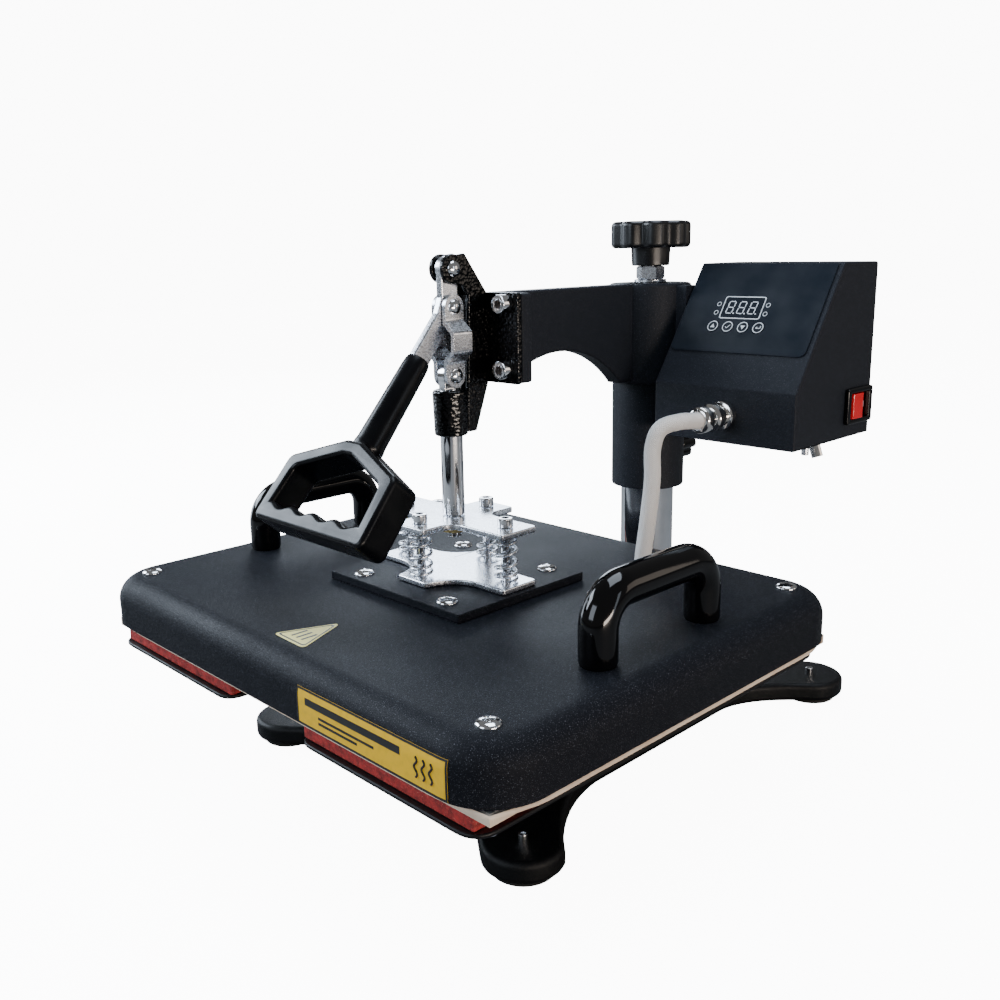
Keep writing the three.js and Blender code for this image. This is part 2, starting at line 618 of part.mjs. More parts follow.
// ---------------------------------------------------------------- upper platen
function coverBox(w, d, r, edge, z0, z1) {
  const full = extruded(roundedRect(w, d, r), z0 - 2 * edge, z1, { bevel: edge, bevelSteps: 3, curve: 4 });
  return cut(full, box(-w, w, -d, d, z0 - 3 * edge, z0));
}

function platenCover() {
  const { w, d, bottom, top, cornerR, edgeR, wall } = COVER;
  const outer = coverBox(w, d, cornerR, edgeR, bottom, top);
  const inner = coverBox(w - 2 * wall, d - 2 * wall, cornerR - wall, edgeR - wall, bottom - 1, top - wall);
  const heads = [];
  for (const x of [-SCREW_X, SCREW_X]) {
    for (const y of [-SCREW_Y, SCREW_Y]) {
      heads.push(panHead(x, y, top));
    }
  }
  const entry = post(LEAD_ENTRY.x, LEAD_ENTRY.y, LEAD_ENTRY.r, top - edgeR, top + 1, 24);
  return join(cut(outer, inner, entry), ...heads);
}

function releaseSheet() {
  const { thickness, top } = SHEET;
  const bottom = HEAT_PLATE.bottom - GAP - thickness;
  const w = PLATEN_W / 2 + GAP;
  const d = PLATEN_D / 2 + GAP;
  const outer = box(-w - thickness, w + thickness, -d - thickness, d + thickness, bottom, top);
  return cut(outer, box(-w, w, -d, d, bottom + thickness, top + 1));
}

function mountPlate() {
  const { w, d, bottom, top, screwX, screwY } = MOUNT_PLATE;
  const heads = [];
  for (const x of [-screwX, screwX]) {
    for (const y of [-screwY, screwY]) {
      heads.push(panHead(x, y, top));
    }
  }
  return join(extruded(roundedRect(w, d, 1.5), bottom, top, { curve: 2 }), ...heads);
}

function springBolt(x, y) {
  const shank = post(x, y, 3, LOWER_SPIDER.bottom + 0.2, UPPER_SPIDER.top + 2, 14);
  const head = post(x, y, 5, UPPER_SPIDER.top + GAP, UPPER_SPIDER.top + 6.3, 20);
  const socket = hexNut(x, y, 5, UPPER_SPIDER.top + 3.5, UPPER_SPIDER.top + 8);
  return cut(join(shank, head), socket);
}

function sideHandle(x) {
  const { y, half, top, bend, r } = HANDLE;
  const foot = COVER.top + GAP;
  const path = new THREE.CurvePath();
  const corner = (cy, cz, from) => {
    const arc = [];
    for (let i = 0; i <= 6; i += 1) {
      const angle = from - (Math.PI / 2) * (i / 6);
      arc.push(new THREE.Vector3(x, cy + bend * Math.cos(angle), cz + bend * Math.sin(angle)));
    }
    return arc;
  };
  const points = [
    new THREE.Vector3(x, y - half, foot),
    ...corner(y - half + bend, top - bend, Math.PI),
    ...corner(y + half - bend, top - bend, Math.PI / 2),
    new THREE.Vector3(x, y + half, foot),
  ];
  for (let i = 1; i < points.length; i += 1) {
    path.add(new THREE.LineCurve3(points[i - 1], points[i]));
  }
  const body = tube(path, r, 12, 22);
  return cut(body, box(x - 40, x + 40, y - 90, y + 90, foot - 40, foot));
}

function addPlaten() {
  add("platen_cover", platenCover(), powderBlack);
  const w = PLATEN_W / 2;
  const d = PLATEN_D / 2;
  const filling = roundedRect(PLATEN_W - 20, PLATEN_D - 20, 12);
  const felt = extruded(filling, HEAT_PLATE.top + GAP, INSULATION_TOP, { curve: 3 });
  const room = post(LEAD_ENTRY.x, LEAD_ENTRY.y, LEAD_ENTRY.r, INSULATION_TOP - 10, INSULATION_TOP + 1, 24);
  add("insulation", cut(felt, room), fibreglass);
  add("heat_plate", box(-w, w, -d, d, HEAT_PLATE.bottom, HEAT_PLATE.top), aluminium);
  add("release_sheet", releaseSheet(), cream);
  add("mount_plate", mountPlate(), powderBlack);
  add("lower_spider", spider(LOWER_SPIDER, 3.3, 7), zinc);
  for (const [name, [x, y]] of Object.entries(SPRING_SPOTS)) {
    add(`spring_bolt_${name}`, springBolt(x, y), zinc);
    add(`platen_spring_${name}`, coilSpring(PLATEN_SPRING).translate(x, y, 0), zinc);
  }
  add("side_handle_right", sideHandle(HANDLE.x), bakelite);
  add("side_handle_left", sideHandle(-HANDLE.x), bakelite);
}

// ---------------------------------------------------------------- control box
// The box's side view, drawn smaller by inset; below says how far it runs past the open underside.
function boxProfile(inset, below) {
  const { front, back, bottom, top } = BOX;
  return polygon([
    [front + inset, bottom - below], [back - inset, bottom - below],
    [back - inset, top - inset], [BOX_TOP_FRONT + inset * 0.7, top - inset],
    [front + inset, BOX_CREASE_Z + inset * 0.3],
  ]);
}

// Places a piece drawn flat on the sloping panel: x from the box's left, y up the slope, z outwards.
const panel = new THREE.Group();
panel.position.set(BOX.left, BOX.front, BOX_CREASE_Z);
panel.rotation.x = Math.atan2(BOX.top - BOX_CREASE_Z, BOX_TOP_FRONT - BOX.front);
const PANEL_LENGTH = Math.hypot(BOX.top - BOX_CREASE_Z, BOX_TOP_FRONT - BOX.front);
const OVERLAY = { left: 1.4, right: 111, bottom: 27, z0: 0.3, z1: 0.9 };
const DISPLAY = { left: 34, right: 65.5, bottom: 55, top: 71.5 };
const KEY = { y: 47.5, r: 4.3, first: 31.2, pitch: 12.4 };
const KEY_NAMES = ["up", "ok", "down", "enter"];

function onPanel(geometry) {
  panel.updateMatrix();
  return geometry.applyMatrix4(panel.matrix);
}

function boxShell() {
  const outer = sideProfile(boxProfile(0, 0), BOX.left, BOX.right);
  const inner = sideProfile(boxProfile(BOX_WALL, 5), BOX.left + BOX_WALL, BOX.right - BOX_WALL);
  const tools = [inner, pinY(BOX.front - 5, BOX.front + 5, GLAND.x, GLAND.z, 7, 24)];
  tools.push(box(
    BOX.right - 5, BOX.right + 5,
    SWITCH.y - 14.6, SWITCH.y + 14.6, SWITCH.z - 10.6, SWITCH.z + 10.6,
  ));
  KEY_NAMES.forEach((_, i) => {
    tools.push(onPanel(post(KEY.first + i * KEY.pitch, KEY.y, KEY.r + 0.8, -5, 5, 20)));
  });
  return cut(outer, ...tools);
}

function boxBase() {
  const left = BOX.left + BOX_WALL + GAP;
  const right = BOX.right - BOX_WALL - GAP;
  const front = BOX.front + BOX_WALL + GAP;
  const back = BOX.back - BOX_WALL - GAP;
  return box(left, right, front, back, BOX.bottom + 0.4, BOX.bottom + 2);
}

function overlaySheet() {
  const { left, right, bottom, z0, z1 } = OVERLAY;
  const top = PANEL_LENGTH - 1;
  const shape = roundedRect(right - left, top - bottom, 4);
  const sheet = extruded(shape, z0, z1, { curve: 3 });
  sheet.translate((left + right) / 2, (top + bottom) / 2, 0);
  const tools = KEY_NAMES.map((_, i) => post(KEY.first + i * KEY.pitch, KEY.y, KEY.r + 0.3, -2, 3, 20));
  tools.push(box(DISPLAY.left, DISPLAY.right, DISPLAY.bottom, DISPLAY.top, -2, 3));
  return cut(sheet, ...tools);
}

function gland() {
  const profile = [
    [LEAD_R + 0.4, GLAND.tip], [7.6, GLAND.tip], [9.2, GLAND.tip + 3], [9.2, GLAND.tip + 7],
    [7.6, GLAND.tip + 9], [7.6, GLAND.tip + 13], [9.6, GLAND.tip + 14], [9.6, GLAND.tip + 19],
    [7.8, GLAND.tip + 20], [7.8, BOX.front - 6], [10, BOX.front - 5], [10, BOX.front - GAP],
    [6.7, BOX.front - GAP], [6.7, BOX.front + 6], [LEAD_R + 0.4, BOX.front + 6],
    [LEAD_R + 0.4, GLAND.tip],
  ];
  return turned(profile.map(([r, y]) => [r, -y]).reverse(), 20)
    .rotateX(Math.PI / 2)
    .translate(GLAND.x, 0, GLAND.z);
}

function switchBezel() {
  const { y, z, w, h, proud } = SWITCH;
  const face = BOX.right + proud;
  const flange = box(BOX.right + GAP, face, y - w / 2, y + w / 2, z - h / 2, z + h / 2);
  const body = box(BOX.right - 12, BOX.right + 1, y - 14.2, y + 14.2, z - 10.2, z + 10.2);
  const well = box(BOX.right - 10, face + 1, y - 13, y + 13, z - 9.2, z + 9.2);
  return cut(join(flange, body), well);
}

// The rocker is a low roof that turns about an upright axis; its front half stands out at rest.
function switchRocker() {
  const outline = polygon([[-12, -4], [12, -4], [12, 1.5], [0, 4.4], [-12, 1.5]]);
  const rocker = extruded(outline, -8.9, 8.9).rotateZ(SWITCH.tilt - Math.PI / 2);
  return rocker.translate(BOX.right + 0.5, SWITCH.y, SWITCH.z);
}

function addControlBox() {
  add("control_box_shell", boxShell(), powderBlack);
  add("control_box_floor", boxBase(), powderBlack);
  add("control_panel", onPanel(overlaySheet()), panelNavy);
  const glass = box(
    DISPLAY.left + GAP, DISPLAY.right - GAP, DISPLAY.bottom + GAP, DISPLAY.top - GAP,
    OVERLAY.z0, OVERLAY.z1 + 0.2,
  );
  add("display_window", onPanel(glass), displayGlass);
  KEY_NAMES.forEach((name, i) => {
    const key = post(KEY.first + i * KEY.pitch, KEY.y, KEY.r, -0.9, OVERLAY.z1 + 0.4, 20);
    add(`key_${name}`, onPanel(key), keyNavy);
  });
  add("switch_bezel", switchBezel(), bakelite);
  add("power_switch", switchRocker(), switchRed);
  add("lead_gland", gland(), chrome);
  const floor = BOX.bottom + 0.4 - GAP;
  add("earth_screw", post(145, 200, 2.6, floor - 8, floor, 12), zinc);
  const stub = post(0, 0, 4, -12, 2, 16).rotateY(-0.35).translate(143, 214, floor);
  add("mains_gland", cut(stub, box(100, 180, 180, 260, floor, floor + 30)), brass);
}

function addHeaterLead() {
  const route = new THREE.CatmullRomCurve3([
    new THREE.Vector3(GLAND.x, BOX.front, GLAND.z),
    new THREE.Vector3(GLAND.x, GLAND.tip, GLAND.z),
    new THREE.Vector3(98, 117, 234.6),
    new THREE.Vector3(92, 104, 231),
    new THREE.Vector3(89.2, 99.5, 218),
    new THREE.Vector3(89.6, 99, 196),
    new THREE.Vector3(86.5, 98.5, 166),
    new THREE.Vector3(LEAD_ENTRY.x, LEAD_ENTRY.y, 142),
    new THREE.Vector3(LEAD_ENTRY.x, LEAD_ENTRY.y, COVER.top + GAP),
  ]);
  add("heater_lead", tube(route, LEAD_R, 10, 26), fibreglass);
}

addBase();
addSwivel();
addArm();
addPressureScrew();
addLockKnob();
addPlunger();
addLever();
addPlaten();
addControlBox();
addHeaterLead();

export default group;
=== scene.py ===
"""Looks of the swing-away heat press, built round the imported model.

Lengths are millimetres in the press frame: X to the operator's right, Y to the back and Z up, with X = Y = 0
under the middle of the heated platen and the table at TABLE_Z. piece() turns them into the metres of the
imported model, whose table is at zero.
"""

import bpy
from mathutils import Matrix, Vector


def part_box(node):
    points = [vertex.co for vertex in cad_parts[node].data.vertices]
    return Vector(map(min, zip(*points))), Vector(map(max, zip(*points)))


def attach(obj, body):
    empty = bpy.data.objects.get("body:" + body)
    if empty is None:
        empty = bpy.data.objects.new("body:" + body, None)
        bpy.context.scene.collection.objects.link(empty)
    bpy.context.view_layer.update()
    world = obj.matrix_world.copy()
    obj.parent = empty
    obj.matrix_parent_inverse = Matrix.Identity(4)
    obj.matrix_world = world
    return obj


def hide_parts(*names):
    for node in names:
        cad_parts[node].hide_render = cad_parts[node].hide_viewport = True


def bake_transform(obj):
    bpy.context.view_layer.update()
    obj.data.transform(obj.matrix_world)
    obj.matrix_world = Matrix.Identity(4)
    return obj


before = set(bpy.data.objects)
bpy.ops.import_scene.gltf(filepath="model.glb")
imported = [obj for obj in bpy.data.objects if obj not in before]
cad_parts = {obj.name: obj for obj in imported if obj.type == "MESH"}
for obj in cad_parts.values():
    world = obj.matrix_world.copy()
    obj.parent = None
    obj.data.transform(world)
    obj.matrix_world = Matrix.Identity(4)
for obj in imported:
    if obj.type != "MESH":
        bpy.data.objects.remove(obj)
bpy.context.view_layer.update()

import math

import bmesh
import bpy
from mathutils import Matrix, Vector

MM = 0.001
LEAST = 1e-4  # vertices closer than this, in mm, are one
TABLE_Z = -4.5


def box_mm(node):
    """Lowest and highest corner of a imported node, in the press frame, in mm."""
    low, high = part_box(node)
    return (low - SHIFT) / MM, (high - SHIFT) / MM


low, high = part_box("platen_cover")
SHIFT = Vector((0, (low.y + high.y) / 2, -TABLE_Z * MM))
TO_MODEL = Matrix.Translation(SHIFT) @ Matrix.Scale(MM, 4)

COVER_LOW, COVER_HIGH = box_mm("platen_cover")
COVER_TOP = box_mm("mount_plate")[0].z - 0.3
POST_LOW, POST_HIGH = box_mm("post")
COLUMN_Y = (POST_LOW.y + POST_HIGH.y) / 2


# ---------- outlines
def arc(cx, cy, r, start, end, steps=8):
    """Points on a circle from one angle to the other, in degrees."""
    angles = [math.radians(start + (end - start) * i / steps) for i in range(steps + 1)]
    return [(cx + r * math.cos(a), cy + r * math.sin(a)) for a in angles]


def circle(cx, cy, r, steps=40):
    return arc(cx, cy, r, 0, 360, steps)[:-1]


def quadratic(p0, p1, p2, steps=12):
    """Points on a quadratic curve, without its last point."""
    points = []
    for t in (i / steps for i in range(steps)):
        a, b, c = (1 - t) ** 2, 2 * t * (1 - t), t * t
        points.append(tuple(a * p0[k] + b * p1[k] + c * p2[k] for k in range(2)))
    return points


def rounded(points, radius, steps=5):
    """A closed outline with each corner rounded; radius is one number, or one for each corner."""
    count = len(points)
    radii = radius if hasattr(radius, "__len__") else [radius] * count
    result = []
    for i, (point, r) in enumerate(zip(points, radii)):
        here = Vector(point)
        before = Vector(points[i - 1]) - here
        after = Vector(points[(i + 1) % count]) - here
        angle = before.angle(after)
        if r <= 0 or angle > math.pi - 0.02:
            result.append(tuple(here))
            continue
        reach = min(r / math.tan(angle / 2), 0.48 * before.length, 0.48 * after.length)
        end = here + after.normalized() * reach
        result += quadratic(here + before.normalized() * reach, here, end, steps) + [tuple(end)]
    return result


def rounded_rect(w, d, r, steps=8, cx=0.0, cy=0.0):
    x, y = w / 2 - r, d / 2 - r
    points = []
    for sx, sy, start in ((1, -1, -90), (1, 1, 0), (-1, 1, 90), (-1, -1, 180)):
        points += arc(cx + sx * x, cy + sy * y, r, start, start + 90, steps)
    return points


def rect(x0, x1, y0, y1):
    return [(x0, y0), (x1, y0), (x1, y1), (x0, y1)]


def four_corners(x, y):
    """The corners of a rectangle, anticlockwise from the front left, each with its number."""
    return [(i + 1, *corner) for i, corner in enumerate(rect(-x, x, -y, y))]


# ---------- solids, as bmesh
def cleaned(bm):
    bmesh.ops.remove_doubles(bm, verts=bm.verts, dist=LEAST)
    bmesh.ops.recalc_face_normals(bm, faces=bm.faces)
    return bm


def lathe(profile, segments=72):
    """Turns (radius, height) pairs about Z. Radius 0 closes an end; a repeated first point closes a ring."""
    bm = bmesh.new()
    rings = []
    for r, z in profile:
        ring = [(0, 0)] if r < LEAST else circle(0, 0, r, segments)
        rings.append([bm.verts.new((x, y, z)) for x, y in ring])
    for lower, upper in zip(rings, rings[1:]):
        for i in range(segments):
            j = (i + 1) % segments
            corners = [ring[k % len(ring)] for ring, k in ((lower, i), (lower, j), (upper, j), (upper, i))]
            unique = [v for k, v in enumerate(corners) if v not in corners[:k]]
            if len(unique) > 2:
                bm.faces.new(unique)
    return cleaned(bm)


def loft(rings, capped=True):
    """Joins rings of points that have the same count; the first and last are closed by a face."""
    bm = bmesh.new()
    rows = [[bm.verts.new(p) for p in ring] for ring in rings]
    for a, b in zip(rows, rows[1:]):
        for i in range(len(a)):
            j = (i + 1) % len(a)
            bm.faces.new((a[i], a[j], b[j], b[i]))
    if capped:
        bm.faces.new(reversed(rows[0]))
        bm.faces.new(rows[-1])
    return cleaned(bm)


def slab(outline, z0, z1, edge=0.5, holes=(), steps=3):
    """A plate with rounded edges: the outline and its holes, from z0 to z1."""
    curve = bpy.data.curves.new("slab", "CURVE")
    curve.dimensions = "2D"
    curve.fill_mode = "BOTH"
    curve.extrude = (z1 - z0) / 2 - edge
    curve.bevel_depth = edge
    curve.offset = -edge
    curve.bevel_resolution = steps - 1
    for ring in (outline, *holes):
        spline = curve.splines.new("POLY")
        spline.points.add(len(ring) - 1)
        for point, (x, y) in zip(spline.points, ring):
            point.co = (x, y, 0, 1)
        spline.use_cyclic_u = True
    holder = bpy.data.objects.new("slab", curve)
    mesh = bpy.data.meshes.new_from_object(holder)
    bm = bmesh.new()
    bm.from_mesh(mesh)
    bpy.data.objects.remove(holder)
    bpy.data.curves.remove(curve)
    bpy.data.meshes.remove(mesh)
    bm.transform(Matrix.Translation((0, 0, (z0 + z1) / 2)))
    return cleaned(bm)


def sheet(outline, z0, z1, edge=0.05, holes=()):
    """A plate whose edges are only broken by a single chamfer."""
    return slab(outline, z0, z1, edge, holes, steps=1)


def moved(bm, *matrices):
    """Applies the matrices from the first to the last."""
    for matrix in matrices:
        bm.transform(matrix)
    return bm


def copy_at(bm, *matrices):
    return moved(bm.copy(), *matrices)


def at(x=0.0, y=0.0, z=0.0):
    return Matrix.Translation((x, y, z))


def turn(degrees, axis):
    return Matrix.Rotation(math.radians(degrees), 4, axis)


# A slab drawn in (Y, Z) and extruded along X; drawn in (X, Z) and extruded along Y towards the back.
YZ_TO_X = Matrix(((0, 0, 1, 0), (1, 0, 0, 0), (0, 1, 0, 0), (0, 0, 0, 1)))
XZ_TO_Y = Matrix(((1, 0, 0, 0), (0, 0, -1, 0), (0, 1, 0, 0), (0, 0, 0, 1)))
ALONG_X, ALONG_Y = turn(90, "Y"), turn(-90, "X")
ON_COLUMN = at(0, COLUMN_Y)


def holder_of(bm, name="solid"):
    mesh = bpy.data.meshes.new(name)
    bm.to_mesh(mesh)
    bm.free()
    holder = bpy.data.objects.new(name, mesh)
    bpy.context.scene.collection.objects.link(holder)
    return holder


def boolean(operation, base, *tools):
    """UNION, DIFFERENCE or INTERSECT of the first solid with each of the others."""
    body = holder_of(base)
    helpers = [holder_of(tool) for tool in tools]
    for helper in helpers:
        modifier = body.modifiers.new("boolean", "BOOLEAN")
        modifier.operation = operation
        modifier.solver = "EXACT"
        modifier.object = helper
    bpy.context.view_layer.update()
    evaluated = body.evaluated_get(bpy.context.evaluated_depsgraph_get())
    mesh = bpy.data.meshes.new_from_object(evaluated)
    bm = bmesh.new()
    bm.from_mesh(mesh)
    for item in (body, *helpers):
        data = item.data
        bpy.data.objects.remove(item)
        bpy.data.meshes.remove(data)
    bpy.data.meshes.remove(mesh)
    bmesh.ops.remove_doubles(bm, verts=bm.verts, dist=1e-3)
    return bm


def united(base, *others):
    return boolean("UNION", base, *others)


def cut(base, *tools):
    return boolean("DIFFERENCE", base, *tools)


def merged(*solids):
    """Solids that don't touch, kept together in one mesh."""
    whole = bmesh.new()
    for bm in solids:
        mesh = bpy.data.meshes.new("part")
        bm.to_mesh(mesh)
        bm.free()
        whole.from_mesh(mesh)
        bpy.data.meshes.remove(mesh)
    return whole


def disc(r, z0, z1, edge=0.4, segments=48):
    """A solid cylinder with rounded rims."""
    low_rim = [(r - edge, z0), (r - 0.3 * edge, z0 + 0.3 * edge), (r, z0 + edge)]
    high_rim = [(r, z1 - edge), (r - 0.3 * edge, z1 - 0.3 * edge), (r - edge, z1)]
    return lathe([(0, z0), *low_rim, *high_rim, (0, z1)], segments)


def hexagon(across_flats):
    return arc(0, 0, across_flats / math.sqrt(3), 30, 390, 6)[:-1]


def hex_nut(across_flats, z0, z1, edge=0.7):
    """A hexagonal prism whose corners are chamfered by a cone, as a real nut's are."""
    r = across_flats / math.sqrt(3)
    slope = r - 1.3 * edge
    cone = lathe([(0, z0), (slope, z0), (r + 0.1, z0 + edge), (r + 0.1, z1 - edge), (slope, z1), (0, z1)])
    return boolean("INTERSECT", sheet(hexagon(across_flats), z0, z1, 0.15), cone)


def tube(points, radius, sides=24, radii=None):
    """A round bar along the points, with closed ends. Its UV is (turns round the bar, mm along it)."""
    path = [Vector(p) for p in points]
    last = len(path) - 1
    radii = radii or [radius] * (last + 1)
    tangents = [(path[min(i + 1, last)] - path[max(i - 1, 0)]).normalized() for i in range(last + 1)]
    side = tangents[0].orthogonal().normalized()
    bm = bmesh.new()
    uv = bm.loops.layers.uv.new("along")
    rings, lengths = [], [0.0]
    for i, (point, tangent) in enumerate(zip(path, tangents)):
        if i:
            side = tangents[i - 1].rotation_difference(tangent) @ side
            lengths.append(lengths[-1] + (point - path[i - 1]).length)
        side = (side - tangent * side.dot(tangent)).normalized()
        across = tangent.cross(side)
        rings.append([bm.verts.new(point + side * x + across * y) for x, y in circle(0, 0, radii[i], sides)])
    for i in range(last):
        for k in range(sides):
            j = (k + 1) % sides
            face = bm.faces.new((rings[i][k], rings[i][j], rings[i + 1][j], rings[i + 1][k]))
            corners = ((k, i), (k + 1, i), (k + 1, i + 1), (k, i + 1))
            for loop, (turned, along) in zip(face.loops, corners):
                loop[uv].uv = (turned / sides, lengths[along])
    bm.faces.new(reversed(rings[0]))
    bm.faces.new(rings[-1])
    bmesh.ops.recalc_face_normals(bm, faces=bm.faces)
    return bm


def smooth_path(points, per_span=8):
    """A Catmull-Rom curve through the points."""
    knots = [Vector(p) for p in points]
    knots = [2 * knots[0] - knots[1], *knots, 2 * knots[-1] - knots[-2]]
    result = []
    for a, b, c, d in zip(knots, knots[1:], knots[2:], knots[3:]):
        for t in (i / per_span for i in range(per_span)):
            result.append(0.5 * (2 * b + (c - a) * t + (2 * a - 5 * b + 4 * c - d) * t * t
                                 + (3 * b - a - 3 * c + d) * t ** 3))
    return result + [knots[-2]]


# ---------- pieces
def piece(name, bm, body, surface, stands_for=None, smooth=38, flat_faces=True):
    """Puts a solid into the model: its surface, shading, the body it rides on and the node it stands for.

    A piece that spans a joint, such as a spring, is given no body (None); bend() only bakes its placement into
    its mesh.
    """
    bm.transform(TO_MODEL)
    obj = holder_of(bm, name)
    obj.data.materials.append(surface.material)
    obj.data.polygons.foreach_set("use_smooth", [True] * len(obj.data.polygons))
    obj.data.set_sharp_from_angle(angle=math.radians(smooth))
    if flat_faces:
        weighted = obj.modifiers.new("even normals", "WEIGHTED_NORMAL")
        weighted.keep_sharp = True
    if body:
        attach(obj, body)
    if stands_for:
        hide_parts(stands_for)
    return obj


def bend(obj):
    """Bakes the piece's placement into its mesh; it is tied to no body."""
    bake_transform(obj)


# ---------- materials
class Surface:
    """A procedural material: its shader, the textures that feed it, and a slot name that it keeps but nothing
    reads.
    """

    def __init__(self, name, slot, base, roughness, metallic=0.0):
        self.slot = slot
        self.material = bpy.data.materials.new(name)
        self.material.use_nodes = True
        self.material.diffuse_color = (*base, 1)
        self.tree = self.material.node_tree
        self.shader = self.tree.nodes["Principled BSDF"]
        self.set(Base_Color=(*base, 1), Roughness=roughness, Metallic=metallic)

    def set(self, **values):
        """Uniform values on the shader's own sockets, with _ for a space in a name."""
        for key, value in values.items():
            self.shader.inputs[key.replace("_", " ")].default_value = value

    def link(self, output, target):
        """Feeds a socket, or the shader's socket of that name."""
        self.tree.links.new(output, self.shader.inputs[target] if isinstance(target, str) else target)

    def node(self, kind, **values):
        """A new shader node with its named inputs or properties set."""
        made = self.tree.nodes.new("ShaderNode" + kind)
        for key, value in values.items():
            if key in made.inputs:
                made.inputs[key].default_value = value
            else:
                setattr(made, key, value)
        return made

    def place(self, stretch=(1, 1, 1)):
        """The point on the object, in metres, stretched per axis."""
        mapping = self.node("Mapping", Scale=stretch)
        self.link(self.node("TexCoord").outputs["Object"], mapping.inputs["Vector"])
        return mapping.outputs["Vector"]

    def noise(self, scale, detail=3.0, roughness=0.5, stretch=(1, 1, 1)):
        texture = self.node("TexNoise", Scale=scale, Detail=detail, Roughness=roughness)
        self.link(self.place(stretch), texture.inputs["Vector"])
        return texture.outputs["Fac"]

    def cells(self, scale):
        texture = self.node("TexVoronoi", Scale=scale)
        self.link(self.place(), texture.inputs["Vector"])
        return texture.outputs["Distance"]

    def remap(self, value, low_in, high_in, low_out=0.0, high_out=1.0):
        ramp = self.node("MapRange")
        limits = {"From Min": low_in, "From Max": high_in, "To Min": low_out, "To Max": high_out}
        for key, number in limits.items():
            ramp.inputs[key].default_value = number
        self.link(value, ramp.inputs["Value"])
        return ramp.outputs["Result"]

    def mix(self, factor, first, second):
        """Blends from the first colour to the second; either may be another node's output."""
        made = self.node("Mix", data_type="RGBA")
        self.link(factor, made.inputs["Factor"])
        for socket, colour in zip([s for s in made.inputs if s.type == "RGBA"], (first, second)):
            if isinstance(colour, tuple):
                socket.default_value = (*colour, 1)
            else:
                self.link(colour, socket)
        return [s for s in made.outputs if s.type == "RGBA"][0]

    def bump(self, height, strength, distance, under=None):
        made = self.node("Bump", Strength=strength, Distance=distance)
        self.link(height, made.inputs["Height"])
        if under:
            self.link(under.outputs["Normal"], made.inputs["Normal"])
        self.link(made.outputs["Normal"], "Normal")
        return made


def powder_coat(name, slot, base, speck, roughness, shine):
    """Fine-textured powder coat: a grain of about 0.6 mm, with small pale specks."""
    coat = Surface(name, slot, base, roughness)
    grain = coat.noise(1500, 4, 0.65)
    coat.link(coat.mix(coat.remap(coat.noise(1700, 2, 0.6), 0.60, 0.70), base, speck), "Base Color")
    coat.link(coat.remap(coat.noise(9, 2), 0.3, 0.7, roughness - 0.05, roughness + 0.07), "Roughness")
    coat.bump(grain, 0.8, 0.0003)
    coat.set(Specular_IOR_Level=shine)
    return coat


def hammered_paint(name, slot, base):
    """Glossy paint with the dimples of a hammer finish, about 3 mm across."""
    paint = Surface(name, slot, base, 0.16)
    dimples = paint.bump(paint.cells(420), 0.4, 0.0008)
    paint.bump(paint.noise(160, 2), 0.2, 0.001, under=dimples)
    paint.link(paint.remap(paint.noise(60, 2), 0.35, 0.65, 0.1, 0.2), "Roughness")
    paint.set(Specular_IOR_Level=0.35)
    return paint


def moulded(name, slot, base, roughness, coat=0.0, ripple=0.0003, shine=0.5):
    """Moulded plastic: faint flow ripples, small changes of gloss, and a painted highlight that makes sharp
    edges paler.
    """
    plastic = Surface(name, slot, base, roughness)
    plastic.link(plastic.remap(plastic.noise(45, 3), 0.3, 0.7, roughness * 0.75, roughness * 1.3), "Roughness")
    # Painted highlight: sharp edges, found by pointiness, are mixed towards a paler colour.
    pale = tuple(c * 1.7 + 0.002 for c in base)
    edge = plastic.remap(plastic.node("NewGeometry").outputs["Pointiness"], 0.52, 0.6, 0.0, 0.5)
    plastic.link(plastic.mix(edge, base, pale), "Base Color")
    plastic.bump(plastic.noise(70, 2), 0.12, ripple)
    plastic.set(Specular_IOR_Level=shine, Coat_Weight=coat, Coat_Roughness=0.05)
    return plastic


def polished_metal(name, slot, base, roughness, streak=(1, 1, 1), streak_scale=600, grain=0.08):
    """Plated or polished metal with fine directional streaks and a little cloudiness."""
    metal = Surface(name, slot, base, roughness, metallic=1.0)
    fine = metal.noise(streak_scale, 3, 0.6, stretch=streak)
    dull = tuple(c * 0.86 for c in base)
    metal.link(metal.mix(metal.remap(metal.noise(40, 3), 0.35, 0.7), base, dull), "Base Color")
    metal.link(metal.remap(fine, 0.3, 0.7, roughness * 0.7, roughness * 1.5), "Roughness")
    metal.bump(fine, grain, 0.00012)
    return metal


def mottled_silicone(name, slot, base, dark, fleck):
    """Foam silicone: blotches, small pale flecks and an open-pored skin."""
    foam = Surface(name, slot, base, 0.7)
    body = foam.mix(foam.remap(foam.noise(190, 5, 0.7), 0.4, 0.66), base, dark)
    flecks = foam.remap(foam.noise(900, 3, 0.6), 0.62, 0.72, 0.0, 0.8)
    foam.link(foam.mix(flecks, body, fleck), "Base Color")
    foam.bump(foam.cells(1300), 0.5, 0.0004)
    return foam


def coated_cloth(name, slot, cream, toasted):
    """Release cloth: a plain weave of 1 mm threads under a thin coating, browned in places by heat."""
    cloth = Surface(name, slot, cream, 0.55)
    warm = cloth.remap(cloth.noise(28, 4, 0.6), 0.45, 0.75, 0.0, 0.8)
    cloth.link(cloth.mix(warm, cream, toasted), "Base Color")
    place = cloth.place()
    weave = cloth.node("Math", operation="MULTIPLY")
    for direction, socket in zip("XY", weave.inputs):
        wave = cloth.node("TexWave", Scale=330.0, bands_direction=direction)
        cloth.link(place, wave.inputs["Vector"])
        cloth.link(wave.outputs["Fac"], socket)
    cloth.bump(weave.outputs["Value"], 0.35, 0.0002)
    cloth.set(Sheen_Weight=0.15)
    return cloth


